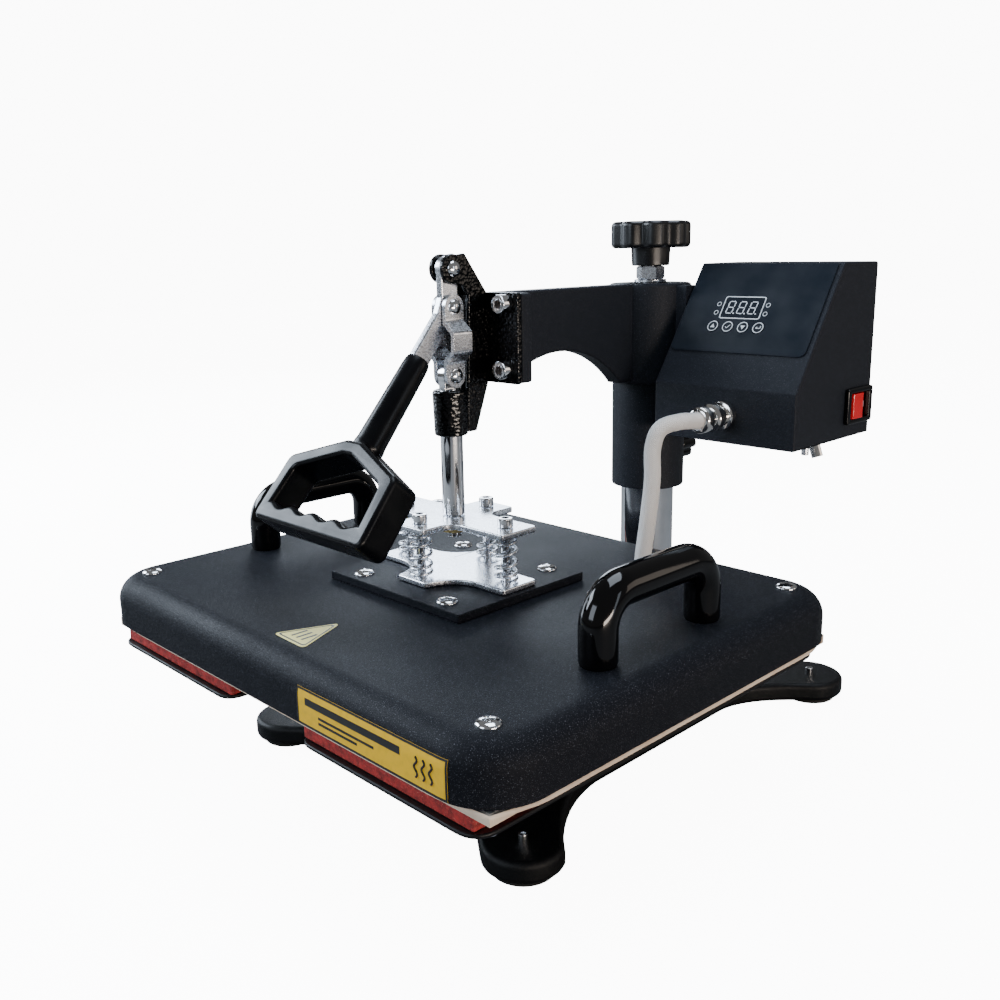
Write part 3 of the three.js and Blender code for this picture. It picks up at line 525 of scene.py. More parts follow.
def braided_sleeve(name, slot, cream, shade, tan):
    """Glass-fibre sleeving: two sets of strands that cross, drawn along the tube by its UV."""
    sleeve = Surface(name, slot, cream, 0.75)
    uv = sleeve.node("UVMap", uv_map="along")
    crossing = sleeve.node("Math", operation="MAXIMUM")
    for slope, socket in zip((45, -45), crossing.inputs):
        mapping = sleeve.node("Mapping", Scale=(8.0, 0.34, 1.0), Rotation=(0, 0, math.radians(slope)))
        sleeve.link(uv.outputs["UV"], mapping.inputs["Vector"])
        wave = sleeve.node("TexWave", Scale=1.0)
        sleeve.link(mapping.outputs["Vector"], wave.inputs["Vector"])
        sleeve.link(wave.outputs["Fac"], socket)
    strands = crossing.outputs["Value"]
    # Painted shade: the gaps between the strands are mixed towards the darker shade colour.
    first = sleeve.mix(sleeve.remap(strands, 0.2, 0.9, 1.0, 0.0), cream, shade)
    age = sleeve.remap(sleeve.noise(30, 4), 0.45, 0.75, 0.0, 0.55)
    sleeve.link(sleeve.mix(age, first, tan), "Base Color")
    sleeve.bump(strands, 0.9, 0.0006)
    sleeve.set(Sheen_Weight=0.9)
    return sleeve


def printed(name, base, roughness=0.4):
    """Ink, felt or sticker film, with a slight unevenness."""
    film = Surface(name, None, base, roughness)
    worn = tuple(c * 0.82 for c in base)
    film.link(film.mix(film.remap(film.noise(220, 3), 0.45, 0.8), base, worn), "Base Color")
    film.bump(film.noise(500, 2), 0.05, 0.0001)
    return film


powder_black = powder_coat("powder coat", "powder_black", (0.0046, 0.0056, 0.0088), (0.085, 0.092, 0.112),
                           0.5, 0.1)
# A lighter copy of the black powder coat, in the same slot, for the control box and the arm: its raised colour
# is painted light.
powder_lit_copy = powder_coat("powder coat lit copy", "powder_black", (0.0105, 0.0128, 0.0185), (0.045, 0.052, 0.068),
                         0.5, 0.16)
cast_black = powder_coat("cast paint", "casting_black", (0.0022, 0.0024, 0.003), (0.008, 0.0085, 0.010),
                         0.4, 0.2)
tray_black = moulded("tray paint", "tray_black", (0.004, 0.004, 0.0045), 0.42, shine=0.25)
hammered_black = hammered_paint("hammered paint", "hammered_black", (0.0008, 0.0009, 0.0012))
gloss_black = moulded("bakelite", "gloss_black", (0.0008, 0.0008, 0.001), 0.08, shine=0.4)
knob_black = moulded("knob plastic", "gloss_black", (0.003, 0.0034, 0.0045), 0.34)
grip_black = moulded("grip plastic", "grip_black", (0.0012, 0.0014, 0.0022), 0.3, shine=0.2)
rubber_black = moulded("foot rubber", "rubber", (0.006, 0.006, 0.006), 0.8)
chrome = polished_metal("chrome", "chrome", (0.92, 0.93, 0.95), 0.08, (1, 1, 0.1))
zinc = polished_metal("zinc plate", "zinc", (0.86, 0.89, 0.95), 0.24, (1, 0.5, 1), 900, 0.5)
nickel = polished_metal("nickel plate", "chrome", (0.90, 0.88, 0.85), 0.12)
brass = polished_metal("brass", "brass", (0.62, 0.50, 0.26), 0.26)
aluminium = polished_metal("aluminium", None, (0.66, 0.67, 0.69), 0.34, (0.1, 1, 1))
# Dark metal for the floors of the bolts' sockets: painted shade where the socket is deep.
socket_shade_metal = polished_metal("socket shade metal", None, (0.10, 0.08, 0.07), 0.4)
silicone_red = mottled_silicone("red silicone", "silicone", (0.46, 0.034, 0.029), (0.16, 0.011, 0.010),
                                (0.70, 0.22, 0.17))
cloth_cream = coated_cloth("release cloth", "release_sheet", (0.80, 0.66, 0.52), (0.52, 0.33, 0.20))
felt = printed("glass felt", (0.78, 0.76, 0.70), 0.9)
braid = braided_sleeve("braided sleeve", "woven_sleeve", (0.99, 0.98, 0.96), (0.84, 0.79, 0.74),
                       (0.93, 0.86, 0.78))
panel_film = moulded("panel film", "panel_film", (0.006, 0.0095, 0.0155), 0.36, ripple=0.0001, shine=0.25)
window_dark = moulded("display window", "display_window", (0.006, 0.010, 0.016), 0.12, coat=0.4)
rocker_red = moulded("rocker red", "switch_red", (0.62, 0.004, 0.008), 0.15, coat=0.5)
ink_white = printed("white ink", (0.72, 0.76, 0.80))
ink_black = printed("black ink", (0.012, 0.012, 0.012))
sticker_yellow = printed("yellow film", (0.88, 0.52, 0.008), 0.45)
sticker_pale = printed("pale yellow film", (0.97, 0.86, 0.30), 0.5)


# ---------- camera and lights
BACKDROP_SEEN, BACKDROP_LIGHT = 11.0, 0.16
PAPER_SEEN, PAPER_LIGHT = 0.93, 0.18
CAMERA_AT = (493.9, -436.5, 348.9)
COOL, WARM = (0.78, 0.88, 1.0), (1.0, 0.86, 0.74)
# Name, place, target and size in metres, then watts and colour.
SOFTBOXES = (
    ("left key", (-1.6, -0.8, 1.1), (0, -0.05, 0.15), (1.1, 0.8), 42, COOL),
    ("front", (-0.2, -2.0, 1.0), (0, 0, 0.15), (1.0, 1.0), 19, COOL),
    ("top", (0.1, 0.3, 2.0), (0, 0, 0.1), (1.4, 1.0), 30, COOL),
    ("back left", (-1.7, 1.4, 1.0), (0, 0, 0.15), (1.0, 0.8), 18, COOL),
    ("right fill", (1.5, 1.2, 0.6), (0, 0, 0.15), (0.7, 0.7), 2.5, WARM),
    ("left strip", (-1.5, -0.3, 0.45), (0, 0, 0.3), (0.5, 0.9), 7, COOL),
    ("right strip", (1.6, 0.3, 0.45), (0, 0, 0.3), (0.2, 0.9), 1.6, COOL),
    ("low right", (1.6, -0.25, 0.12), (0.2, 0.0, 0.09), (1.0, 0.16), 15, WARM),
)


def add_camera():
    """Looks 14 degrees down on the right front corner, nearly level."""
    data = bpy.data.cameras.new("camera")
    data.lens = 36.5
    data.sensor_width = 36.0
    data.clip_end = 50
    camera = bpy.data.objects.new("camera", data)
    aim = turn(45.83, "Z") @ turn(90 - 13.89, "X") @ turn(-1.156, "Z")
    camera.matrix_world = Matrix.Translation(TO_MODEL @ Vector(CAMERA_AT)) @ aim
    bpy.context.scene.collection.objects.link(camera)
    bpy.context.scene.camera = camera


def add_softbox(name, place, target, size, power, colour):
    data = bpy.data.lights.new(name, "AREA")
    data.shape = "RECTANGLE"
    data.size, data.size_y = size
    data.energy = power
    data.color = colour
    light = bpy.data.objects.new(name, data)
    light.location = place
    direction = Vector(target) - Vector(place)
    light.rotation_euler = direction.to_track_quat("-Z", "Y").to_euler()
    bpy.context.scene.collection.objects.link(light)


def for_the_eye(tree, seen, lit):
    """A value that is SEEN where the camera looks straight at it, and LIT for every other ray."""
    path = tree.nodes.new("ShaderNodeLightPath")
    choice = tree.nodes.new("ShaderNodeMapRange")
    choice.inputs["To Min"].default_value = lit
    choice.inputs["To Max"].default_value = seen
    tree.links.new(path.outputs["Is Camera Ray"], choice.inputs["Value"])
    return choice.outputs["Result"]


def add_studio():
    """A white backdrop and floor, lit by a cool key at the left and a weak warm fill at the right."""
    world = bpy.data.worlds.new("studio")
    world.use_nodes = True
    tree = world.node_tree
    background = tree.nodes["Background"]
    background.inputs["Color"].default_value = (1.0, 1.0, 1.0, 1)
    tree.links.new(for_the_eye(tree, BACKDROP_SEEN, BACKDROP_LIGHT), background.inputs["Strength"])
    bpy.context.scene.world = world
    for softbox in SOFTBOXES:
        add_softbox(*softbox)
    floor_bm = bmesh.new()
    bmesh.ops.create_grid(floor_bm, x_segments=1, y_segments=1, size=6.0)
    floor = holder_of(floor_bm, "floor")
    paper = Surface("pale paper", None, (0.93, 0.93, 0.93), 0.8)
    paper.link(for_the_eye(paper.tree, PAPER_SEEN, PAPER_LIGHT), "Base Color")
    paper.bump(paper.noise(300, 2), 0.05, 0.0003)
    paper.set(Emission_Color=(1.0, 1.0, 1.0, 1))
    paper.link(for_the_eye(paper.tree, BACKDROP_SEEN, 0.0), "Emission Strength")
    floor.data.materials.append(paper.material)


# ---------- heater lead
LEAD_DIAMETER = 11.2
GLAND_X, GLAND_Z = 100.3, 233.4
LEAD_ROUTE = [
    (100.3, 166.5, 233.4), (100.3, 150, 233.4), (100.3, 134, 233.4), (98, 117, 234.6), (92, 104, 231),
    (89.2, 99.5, 218), (89.6, 99, 196), (86.5, 98.5, 166), (83.5, 98, 142), (83.5, 98, 131.3),
]


def add_heater_lead():
    """The woven lead from the gland on the control box down into the cover."""
    centre = smooth_path(LEAD_ROUTE, 6)
    lead = piece("heater_lead_braid", tube(centre, LEAD_DIAMETER / 2, 32), None, braid, "heater_lead",
                 flat_faces=False)
    bend(lead)


# ---------- base
FOOT_X, FOOT_FRONT_Y, FOOT_BACK_Y, FOOT_R = 122.0, -62.0, 267.5, 25.5
BASE_LOW, BASE_HIGH = -0.5, 14.0
RAIL_X = 96.0
BOSS_RIM = 33.0


def base_outline():
    """Anticlockwise outline of the casting: four round feet joined by curved sides."""
    x, front, back, r, rail = FOOT_X, FOOT_FRONT_Y, FOOT_BACK_Y, FOOT_R, RAIL_X
    half = quadratic((0, front + 45), (22, front + 45), (40, front + 34), 6)
    half += quadratic((40, front + 34), (72, front + 6), (x - r * 0.637, front - r * 0.771), 14)
    half += arc(x, front, r, -129.6, 28.8, 22)
    half += quadratic(half[-1], (rail + 2, front + 54), (rail, front + 105), 14)[1:]
    half += quadratic((rail, back - 84), (rail + 1, back - 52), (x + r * 0.637, back - r * 0.771), 14)
    half += arc(x, back, r, -50.4, 129.6, 22)
    half += quadratic(half[-1], (60, back - 22), (0, back - 22), 16)[1:]
    return half + [(0, back - 22)] + [(-px, py) for px, py in reversed(half[1:])]


def add_base():
    deck, top, rim = BASE_HIGH, box_mm("base_casting")[1].z, BOSS_RIM
    boss = lathe([(0, deck - 6), (54, deck - 6), (54, deck - 1.2), (47, deck + 0.2), (42, deck + 2.5),
                  (39, deck + 7), (37.5, deck + 14), (rim + 0.4, top - 5),
                  (rim - 0.6, top - 2), (rim - 3, top), (0, top)])
    casting = united(slab(base_outline(), BASE_LOW, BASE_HIGH, 4.0, steps=5), moved(boss, ON_COLUMN))
    casting = cut(casting, moved(disc(21.3, POST_LOW.z - 0.3, 90, 0.1), ON_COLUMN))
    piece("base_body", casting, "base", cast_black, "base_casting")
    screw = cut(disc(2.8, deck - 3, deck + 4, 0.5, 24), sheet(hexagon(2.5), deck + 1.5, deck + 6))
    for side, x in (("left", -FOOT_X), ("right", FOOT_X)):
        for end, y in (("front", FOOT_FRONT_Y), ("back", FOOT_BACK_Y)):
            piece(f"foot_screw_{end}_{side}", copy_at(screw, at(x, y)), "base", chrome)
            pad = moved(disc(20, TABLE_Z, BASE_LOW - 0.3, 0.8), at(x, y))
            piece(f"foot_pad_{end}_{side}", pad, "base", rubber_black, f"rubber_foot_{end}_{side}")
    low_z, high_z = POST_LOW.z, POST_HIGH.z
    bore = [(18, low_z), (20.6, low_z), (21, low_z + 0.4), (21, high_z - 1), (20.2, high_z), (18, high_z),
            (18, low_z)]
    piece("post_tube", moved(lathe(bore, 96), ON_COLUMN), "base", chrome, "post")
    add_stand()


TRAY_HIGH = box_mm("lower_platen_tray")[1]
TRAY_BOTTOM = TRAY_HIGH.z - 2.6
SCREW_X, SCREW_Y = 172.5, 134.8


def notched(corner, r, half, depth, mouth, inner):
    """A rounded sheet as large as its corner says, with a finger notch in the middle of its front edge."""
    x, y = corner.x, corner.y
    notch = [(-half, -y), (-half, depth - y), (half, depth - y), (half, -y)]
    outline = [(-x, -y), *notch, (x, -y), (x, y), (-x, y)]
    return rounded(outline, [r, mouth, inner, inner, mouth, r, r, r], 8)


def add_stand():
    low_corner, high_corner = box_mm("lower_platen_stand")
    size = high_corner.x - low_corner.x
    wall = slab(rounded_rect(size, size, 14), low_corner.z, high_corner.z, 0.6,
                holes=[rounded_rect(size - 18, size - 18, 6)])
    piece("stand_tube", wall, "base", cast_black, "lower_platen_stand")
    tray = slab(notched(TRAY_HIGH, 16, 38, 42, 13, 14), TRAY_BOTTOM, TRAY_HIGH.z, 1.0)
    piece("tray_sheet", tray, "base", tray_black, "lower_platen_tray")
    low_corner, high_corner = box_mm("silicone_pad")
    pad = slab(notched(high_corner, 1.5, 39.5, 40, 1.5, 1.5), low_corner.z, high_corner.z, 0.5)
    piece("pad_sheet", pad, "base", silicone_red, "silicone_pad")
    stem = disc(3, TRAY_BOTTOM - 9, TRAY_BOTTOM - 4.5, 0.5, 24)
    fastener = united(hex_nut(10, TRAY_BOTTOM - 5, TRAY_BOTTOM), stem)
    for number, x, y in four_corners(SCREW_X, SCREW_Y):
        piece(f"tray_nut_{number}", copy_at(fastener, at(x, y)), "base", zinc)


# ---------- upper platen
COVER_W, COVER_D = COVER_HIGH.x * 2, COVER_HIGH.y * 2
CORNER_R, EDGE_R, WALL = 36.0, 16.0, 2.0


def cover_ring(inset, z):
    ring = rounded_rect(COVER_W - 2 * inset, COVER_D - 2 * inset, CORNER_R - inset, 14)
    return [(x, y, z) for x, y in ring]


def pan_head(r=6.8, height=2.7):
    """A pan-head screw with a cross recess, standing on z = 0."""
    dome = [(0, -0.6), (r - 0.2, -0.6), (r, -0.3), (r, 0.4), (r * 0.96, 0.9)]
    dome += [(r * math.cos(a), 0.4 + (height - 0.4) * math.sin(a)) for a in (0.5, 0.75, 1.0, 1.25)]
    dome.append((0, height))
    return cut(lathe(dome, 40), *(sheet(rect(-x, x, -y, y), 0.9, 5) for x, y in ((0.6, 3.2), (3.2, 0.6))))


def add_screws(name, x, y, top, start, step):
    """Four pan-head screws, each turned a little further than the last."""
    head = pan_head()
    for number, px, py in four_corners(x, y):
        placing = turn(start + step * (number - 1), "Z"), at(px, py, top)
        piece(f"{name}_{number}", copy_at(head, *placing), "upper_platen", chrome)


def add_cover():
    bottom, shoulder = COVER_LOW.z, COVER_TOP - EDGE_R
    rings = [(WALL, shoulder), (WALL, bottom + 0.5), (WALL * 0.7, bottom), (WALL * 0.3, bottom),
             (0, bottom + 0.5), (0, shoulder - 6)]
    for i in range(13):
        angle = math.radians(90 * i / 12)
        rings.append((EDGE_R * (1 - math.cos(angle)), COVER_TOP - EDGE_R * (1 - math.sin(angle))))
    rings.append((EDGE_R + 3, COVER_TOP))
    shell = loft([cover_ring(*ring) for ring in rings], capped=False)
    for roof in (rings[-1], rings[0]):
        shell.faces.new([shell.verts.new(p) for p in cover_ring(*roof)])
    entry = moved(disc(LEAD_DIAMETER / 2 + 0.8, shoulder, COVER_TOP + 5, 0.1), at(*LEAD_ROUTE[-1][:2]))
    piece("cover_shell", cut(cleaned(shell), entry), "upper_platen", powder_black, "platen_cover")
    add_screws("cover_screw", SCREW_X, SCREW_Y, COVER_TOP, 20, 33)


# How far the hem stands out from the fold at the sides and at the front and back, and where it turns up.
HEM_OUT_X, HEM_OUT_Y = 7.3, 4.2
HEM_FOLD, HEM_RISE = 0.6, 2.7


def hem_points(w, d, steps=48):
    """Points round the fold, each with the outward step that its part of the hem takes, none at the corners."""
    corners = rect(-w, w, -d, d)
    points = []
    for (x0, y0), (x1, y1) in zip(corners, corners[1:] + corners[:1]):
        for t in (i / steps for i in range(steps)):
            ease = min(1.0, 11 * min(t, 1 - t))
            out_x = HEM_OUT_X * (y1 - y0) / (2 * d) * ease
            out_y = HEM_OUT_Y * (x0 - x1) / (2 * w) * ease
            points.append((x0 + (x1 - x0) * t, y0 + (y1 - y0) * t, out_x, out_y))
    return points


def add_release_sheet():
    """A thin cloth folded up round the heat plate, its wavy hem standing out under the cover's rim."""
    low_corner, high_corner = box_mm("release_sheet")
    w, d = high_corner.x - 0.35, high_corner.y - 0.35
    bottom, height = low_corner.z + 0.3, high_corner.z - low_corner.z - 0.4
    points = hem_points(w, d)

    def ring(rise, out, sag=0.0):
        result = []
        for i, (x, y, out_x, out_y) in enumerate(points):
            wave = 0.5 + 0.5 * math.sin(i * 0.83) * math.sin(i * 0.29 + 1)
            share = out * (1 - 0.08 * wave)
            result.append((x + out_x * share, y + out_y * share, bottom + rise - sag * wave))
        return result

    rings = [ring(0, 0), ring(HEM_FOLD, 0), ring(HEM_FOLD + HEM_RISE, 1, 0.25), ring(height, 1, 0.4)]
    cloth = loft(rings, capped=False)
    cloth.faces.new([cloth.verts.new(p) for p in rings[0]])
    obj = piece("release_cloth", cleaned(cloth), "upper_platen", cloth_cream, "release_sheet", flat_faces=False)
    thickness = obj.modifiers.new("thickness", "SOLIDIFY")
    thickness.thickness = 0.00035
    thickness.offset = 0


def add_mount_plate():
    low_corner, high_corner = box_mm("mount_plate")
    top = low_corner.z + 5.7
    plate = slab(rounded_rect(high_corner.x * 2, high_corner.y * 2, 1.5, 4), low_corner.z, top, 0.5)
    piece("mount_plate_sheet", plate, "upper_platen", powder_black, "mount_plate")
    add_screws("mount_screw", 42.3, 45.3, top, 50, 41)


def cross_outline(x, y, half_x, half_y, notch_r, tip=2.5):
    """A cross of two bars whose inside corners are round notches."""
    quarter = arc(x - tip, half_y - tip, tip, 0, 90, 4)
    quarter += arc(half_x + notch_r, half_y + notch_r, notch_r, -90, -180, 14)
    quarter += arc(half_x - tip, y - tip, tip, 0, 90, 4)
    half = quarter + [(-px, py) for px, py in reversed(quarter)]
    return half + [(-px, -py) for px, py in half]


SPRING_SPOTS = {"right": (49, 0), "back": (0, 30), "left": (-49, 0), "front": (0, -30)}


def socket_bolt(r, height, shank_r, length, socket=5.0):
    """A socket-head cap screw with its head's underside on z = 0, pointing down."""
    head = lathe([(0, 0), (r - 0.3, 0), (r, 0.3), (r, height - 0.8), (r - 0.25, height - 0.25),
                  (r - 0.8, height), (0, height)], 48)
    head = cut(head, sheet(hexagon(socket), height * 0.45, height + 2))
    return united(head, disc(shank_r, -length, 0.5, 0.5, 32)) if length else head


def socket_shade(height, socket=5.0):
    """A dark plate at the bottom of a cap screw's hexagonal socket: painted shade inside the deep socket."""
    return sheet(hexagon(socket - 0.1), height * 0.45 + 0.02, height * 0.45 + 0.5)


def coil(r, wire, z0, z1, turns):
    """A compression spring whose end turns lie flat."""
    points = []
    count = turns * 30
    for t in (i / count for i in range(count + 1)):
        eased = t - math.sin(2 * math.pi * t) * 0.07
        angle = 2 * math.pi * turns * t
        points.append((r * math.cos(angle), r * math.sin(angle), z0 + wire / 2 + (z1 - z0 - wire) * eased))
    return tube(points, wire / 2, 12)


def add_cross_plates():
    holes = [circle(x, y, 3.3, 24) for x, y in SPRING_SPOTS.values()]
    for name, body, sizes in (("lower", "upper_platen", (61.7, 39, 14.5, 15.5, 24)),
                              ("upper", "plunger", (62, 41, 15.5, 16, 9))):
        low_corner, high_corner = box_mm(f"{name}_spider")
        plate = slab(cross_outline(*sizes), low_corner.z, high_corner.z, 0.9, holes=holes)
        piece(f"{name}_cross", plate, body, zinc, f"{name}_spider")
    bolt_low, bolt_high = box_mm("spring_bolt_right")
    spring_low, spring_high = box_mm("platen_spring_right")
    head_base = bolt_high.z - 6
    bolt = socket_bolt(5, 6, 3, head_base - bolt_low.z)
    spring = coil(6.8, 2.2, spring_low.z - 0.1, spring_high.z + 0.1, 5)
    for i, (name, (x, y)) in enumerate(SPRING_SPOTS.items()):
        placing = turn(17 * i, "Z"), at(x, y, head_base)
        piece(f"bolt_{name}", copy_at(bolt, *placing), "upper_platen", chrome, f"spring_bolt_{name}")
        piece(f"bolt_socket_{name}", moved(socket_shade(6), *placing), "upper_platen", socket_shade_metal)
        wound = copy_at(spring, turn(75 * i, "Z"), at(x, y))
        obj = piece(f"spring_{name}", wound, None, zinc, f"platen_spring_{name}", flat_faces=False)
        bend(obj)


def add_side_handle(side, bow=20.0):
    """A thick U-shaped bar standing on the cover."""
    low_corner, high_corner = box_mm(f"side_handle_{side}")
    x = (low_corner.x + high_corner.x) / 2
    r = (high_corner.x - low_corner.x) / 2
    y0, y1, foot, middle = low_corner.y + r, high_corner.y - r, low_corner.z, high_corner.z - r - bow
    route = [(y0, foot), (y0, foot + 2), (y0, foot + 8), *arc(y0 + bow, middle, bow, 180, 90, 14),
             *arc(y1 - bow, middle, bow, 90, 0, 14), (y1, foot + 8), (y1, foot + 2), (y1, foot)]
    radii = [r - 0.8, *[r] * (len(route) - 2), r - 0.8]
    bar = tube([(x, y, z) for y, z in route], r, 40, radii)
    piece(f"side_handle_bar_{side}", bar, "upper_platen", gloss_black, f"side_handle_{side}", flat_faces=False)


def cover_point(u, s, lift):
    """A point on the cover's front: u mm right of its middle and s mm up its skin from the lower edge."""
    straight = COVER_TOP - EDGE_R - COVER_LOW.z
    angle = max(0.0, s - straight) / EDGE_R
    corner_x = COVER_W / 2 - CORNER_R
    swing = max(0.0, u - corner_x) / CORNER_R
    r = CORNER_R - EDGE_R * (1 - math.cos(angle)) + lift * math.cos(angle)
    return (min(u, corner_x) + r * math.sin(swing), -COVER_D / 2 + CORNER_R - r * math.cos(swing),
            COVER_LOW.z + min(s, straight) + (EDGE_R + lift) * math.sin(angle))


def cover_patch(u0, u1, s0, s1, lift, thickness=0.12):
    """A thin film that follows the cover's front, as a closed solid."""
    columns, rows = max(2, int((u1 - u0) / 2)), max(2, int((s1 - s0) / 1.5))
    bm = bmesh.new()
    rims = []
    for height in (lift, lift + thickness):
        grid = [[bm.verts.new(cover_point(u0 + (u1 - u0) * i / columns, s0 + (s1 - s0) * j / rows, height))
                 for i in range(columns + 1)] for j in range(rows + 1)]
        for near, far in zip(grid, grid[1:]):
            for i in range(columns):
                bm.faces.new((near[i], near[i + 1], far[i + 1], far[i]))
        right, left = [row[-1] for row in grid[1:]], [row[0] for row in grid[-2:0:-1]]
        rims.append(grid[0] + right + grid[-1][-2::-1] + left)
    for i in range(len(rims[0])):
        j = (i + 1) % len(rims[0])
        bm.faces.new((rims[0][i], rims[0][j], rims[1][j], rims[1][i]))
    return cleaned(bm)


# The front sticker, along the cover and up its skin, and the three corners of the one on top.
STICKER_U, STICKER_S = (48.0, 171.0), (0.8, 22.5)
TRIANGLE = [(-5, -141), (28, -142), (11, -103)]


def add_label_marks():
    """Plain marks in black ink: a bold rule, two fine ones and three rising heat waves, with no words."""
    (u0, u1), (s0, s1) = STICKER_U, STICKER_S
    height = s1 - s0
    rules = ((8, u1 - u0 - 34, 0.58, 0.78), (20, 68, 0.36, 0.43), (20, 54, 0.22, 0.29))
    for i, (left, right, low_share, high_share) in enumerate(rules):
        rule = cover_patch(u0 + left, u0 + right, s0 + low_share * height, s0 + high_share * height, 0.18)
        piece(f"front_sticker_rule_{i + 1}", rule, "upper_platen", ink_black)
    for i in range(3):
        wave = []
        for t in (j / 24 for j in range(25)):
            sway = 1.1 * math.sin(2 * math.pi * 1.5 * t)
            wave.append(cover_point(u1 - 22 + 5.5 * i + sway, s0 + height * (0.25 + 0.5 * t), 0.2))
        piece(f"front_sticker_wave_{i + 1}", tube(wave, 0.65, 8), "upper_platen", ink_black)


def add_stickers():
    """A framed yellow bar on the front and a framed triangle on top, both with plain marks and no words."""
    (u0, u1), (s0, s1) = STICKER_U, STICKER_S
    piece("front_sticker", cover_patch(u0, u1, s0, s1, 0.05), "upper_platen", sticker_yellow)
    line, margin = 1.2, 0.1
    a, b, c, d = u0 + margin, u1 - margin, s0 + margin, s1 - margin
    bars = (a, b, c, c + line), (a, b, d - line, d), (a, a + line, c, d), (b - line, b, c, d)
    for i, bar in enumerate(bars):
        piece(f"front_sticker_frame_{i + 1}", cover_patch(*bar, 0.18), "upper_platen", ink_black)
    add_label_marks()
    top = COVER_TOP + 0.02
    piece("top_sticker", sheet(rounded(TRIANGLE, 3.0), top, top + 0.25, 0.08), "upper_platen", sticker_pale)
    middle = sum((Vector(p) for p in TRIANGLE), Vector((0, 0))) / 3
    outer, inner = ([tuple(middle.lerp(Vector(p), share)) for p in TRIANGLE] for share in (0.88, 0.80))
    inked = top + 0.26, top + 0.36, 0.02
    piece("top_sticker_frame", sheet(rounded(outer, 2.4), *inked, holes=[rounded(inner, 2.0)]), "upper_platen",
          ink_black)
    strokes = [sheet(rect(x - 0.8, x + 0.8, middle.y - 7, middle.y + 4), *inked)
               for x in (middle.x - 5, middle.x, middle.x + 5)]
    piece("top_sticker_strokes", merged(*strokes), "upper_platen", ink_black)


def add_platen():
    add_cover()
    add_release_sheet()
    add_mount_plate()
    add_cross_plates()
    add_side_handle("right")
    add_side_handle("left")
    add_stickers()


# ---------- arm
ARM_TOP = box_mm("arm_casting")[1].z
FLANGE_FRONT, FLANGE_BACK, FLANGE_HALF, FLANGE_LOW = 32.3, 41.3, 35.0, 264.0
BOSS_R, BOSS_LOW = 31.7, 246.0
ARCH_Y, ARCH_TOP, ARCH_R = 100.0, 277.5, 92.0
SLEEVE_R, SLEEVE_BORE = 28.7, 21.4
BORE_EDGE = 0.1


def arm_web_outline():
    """Side view of the web: flat on top, with an arch below between the flange and the boss."""
    centre_z = ARCH_TOP - ARCH_R
    front, low_z = FLANGE_BACK - 4, BOSS_LOW + 2
    start = 180 - math.degrees(math.asin((FLANGE_LOW - centre_z) / ARCH_R))
    end = math.degrees(math.asin((low_z - centre_z) / ARCH_R))
    arch = arc(ARCH_Y, centre_z, ARCH_R, start, end, 36)
    return [(front, FLANGE_LOW), *arch, (COLUMN_Y - BOSS_R + 8, low_z), (COLUMN_Y, low_z), (COLUMN_Y, ARM_TOP),
            (front, ARM_TOP)]


def flange_plate(grow, corner, y0, y1, edge):
    """A plate as wide as the arm's flange, upright from y0 to y1."""
    shape = rounded_rect(2 * FLANGE_HALF, ARM_TOP - FLANGE_LOW + grow, corner, 4, 0, (ARM_TOP + FLANGE_LOW) / 2)
    return moved(slab(shape, -y1, -y0, edge), XZ_TO_Y)


def add_arm():
    web = moved(slab(arm_web_outline(), -7, 7, 1.8), YZ_TO_X)
    r, low_z, top = BOSS_R, BOSS_LOW, ARM_TOP
    boss = lathe([(0, low_z), (r - 1, low_z), (r, low_z + 1), (r, top - 2.2), (r - 0.7, top - 0.7),
                  (r - 2.2, top), (0, top)], 96)
    lug = slab(rect(20, 39.7, COLUMN_Y - 8, COLUMN_Y + 4), 262, top - 1.5, 0.8)
    body = united(web, flange_plate(0, 2.0, FLANGE_FRONT, FLANGE_BACK, 1.2), moved(boss, ON_COLUMN), lug)
    room, hole = disc(29, low_z - 2, 309.5, BORE_EDGE, 64), disc(6.5, 300, 330, BORE_EDGE, 40)
    body = cut(body, moved(room, ON_COLUMN), moved(hole, ON_COLUMN))
    piece("arm_body", body, "arm", powder_lit_copy, "arm_casting")
    r, inner = SLEEVE_R, SLEEVE_BORE
    low_z, high_z = (corner.z for corner in box_mm("arm_sleeve"))
    wall = lathe([(inner, low_z + 0.8), (inner + 0.8, low_z), (r - 1.2, low_z), (r - 0.3, low_z + 0.3),
                  (r, low_z + 1.2), (r, high_z - 0.5), (r - 0.5, high_z), (inner, high_z),
                  (inner, low_z + 0.8)], 96)
    piece("sleeve_tube", moved(wall, ON_COLUMN), "arm", powder_lit_copy, "arm_sleeve")
    ring = lathe([(6.5, 0), (12, 0), (12.3, 0.3), (12.3, 2), (12, 2.3), (6.5, 2.3), (6.5, 0)], 64)
    piece("washer_ring", moved(ring, at(0, COLUMN_Y, top + 0.3)), "arm", zinc, "pressure_washer")
    low_z, high_z = (corner.z for corner in box_mm("arm_spring"))
    spring = moved(coil(12, 3, low_z, high_z, 4), ON_COLUMN)
    wound = piece("arm_spring_coil", spring, None, zinc, "arm_spring", flat_faces=False)
    bend(wound)


# ---------- toggle
TOP_Z, MID_Z, LOW_Z = 337.5, 313.8, 270.2
CHEEK_IN, CHEEK_OUT = 3.6, 6.8
BUSHING_LOW, BUSHING_TOP = 231.2, 261.0
BRACKET_BACK = FLANGE_FRONT - 0.3
RIVET_R, RIVET_SHANK_R = 5.0, 3.5


def cheek_outline():
    back = BRACKET_BACK - 3.5
    rest = [(10, TOP_Z + 9.5), (back, ARM_TOP + 0.5), (back, FLANGE_LOW - 1), (17, BUSHING_LOW + 1),
            (9, BUSHING_LOW + 1), (10.3, BUSHING_TOP), (12.5, TOP_Z - 17), (8, TOP_Z - 10.5)]
    return arc(0, TOP_Z, 9.2, 245, 70, 20) + rest


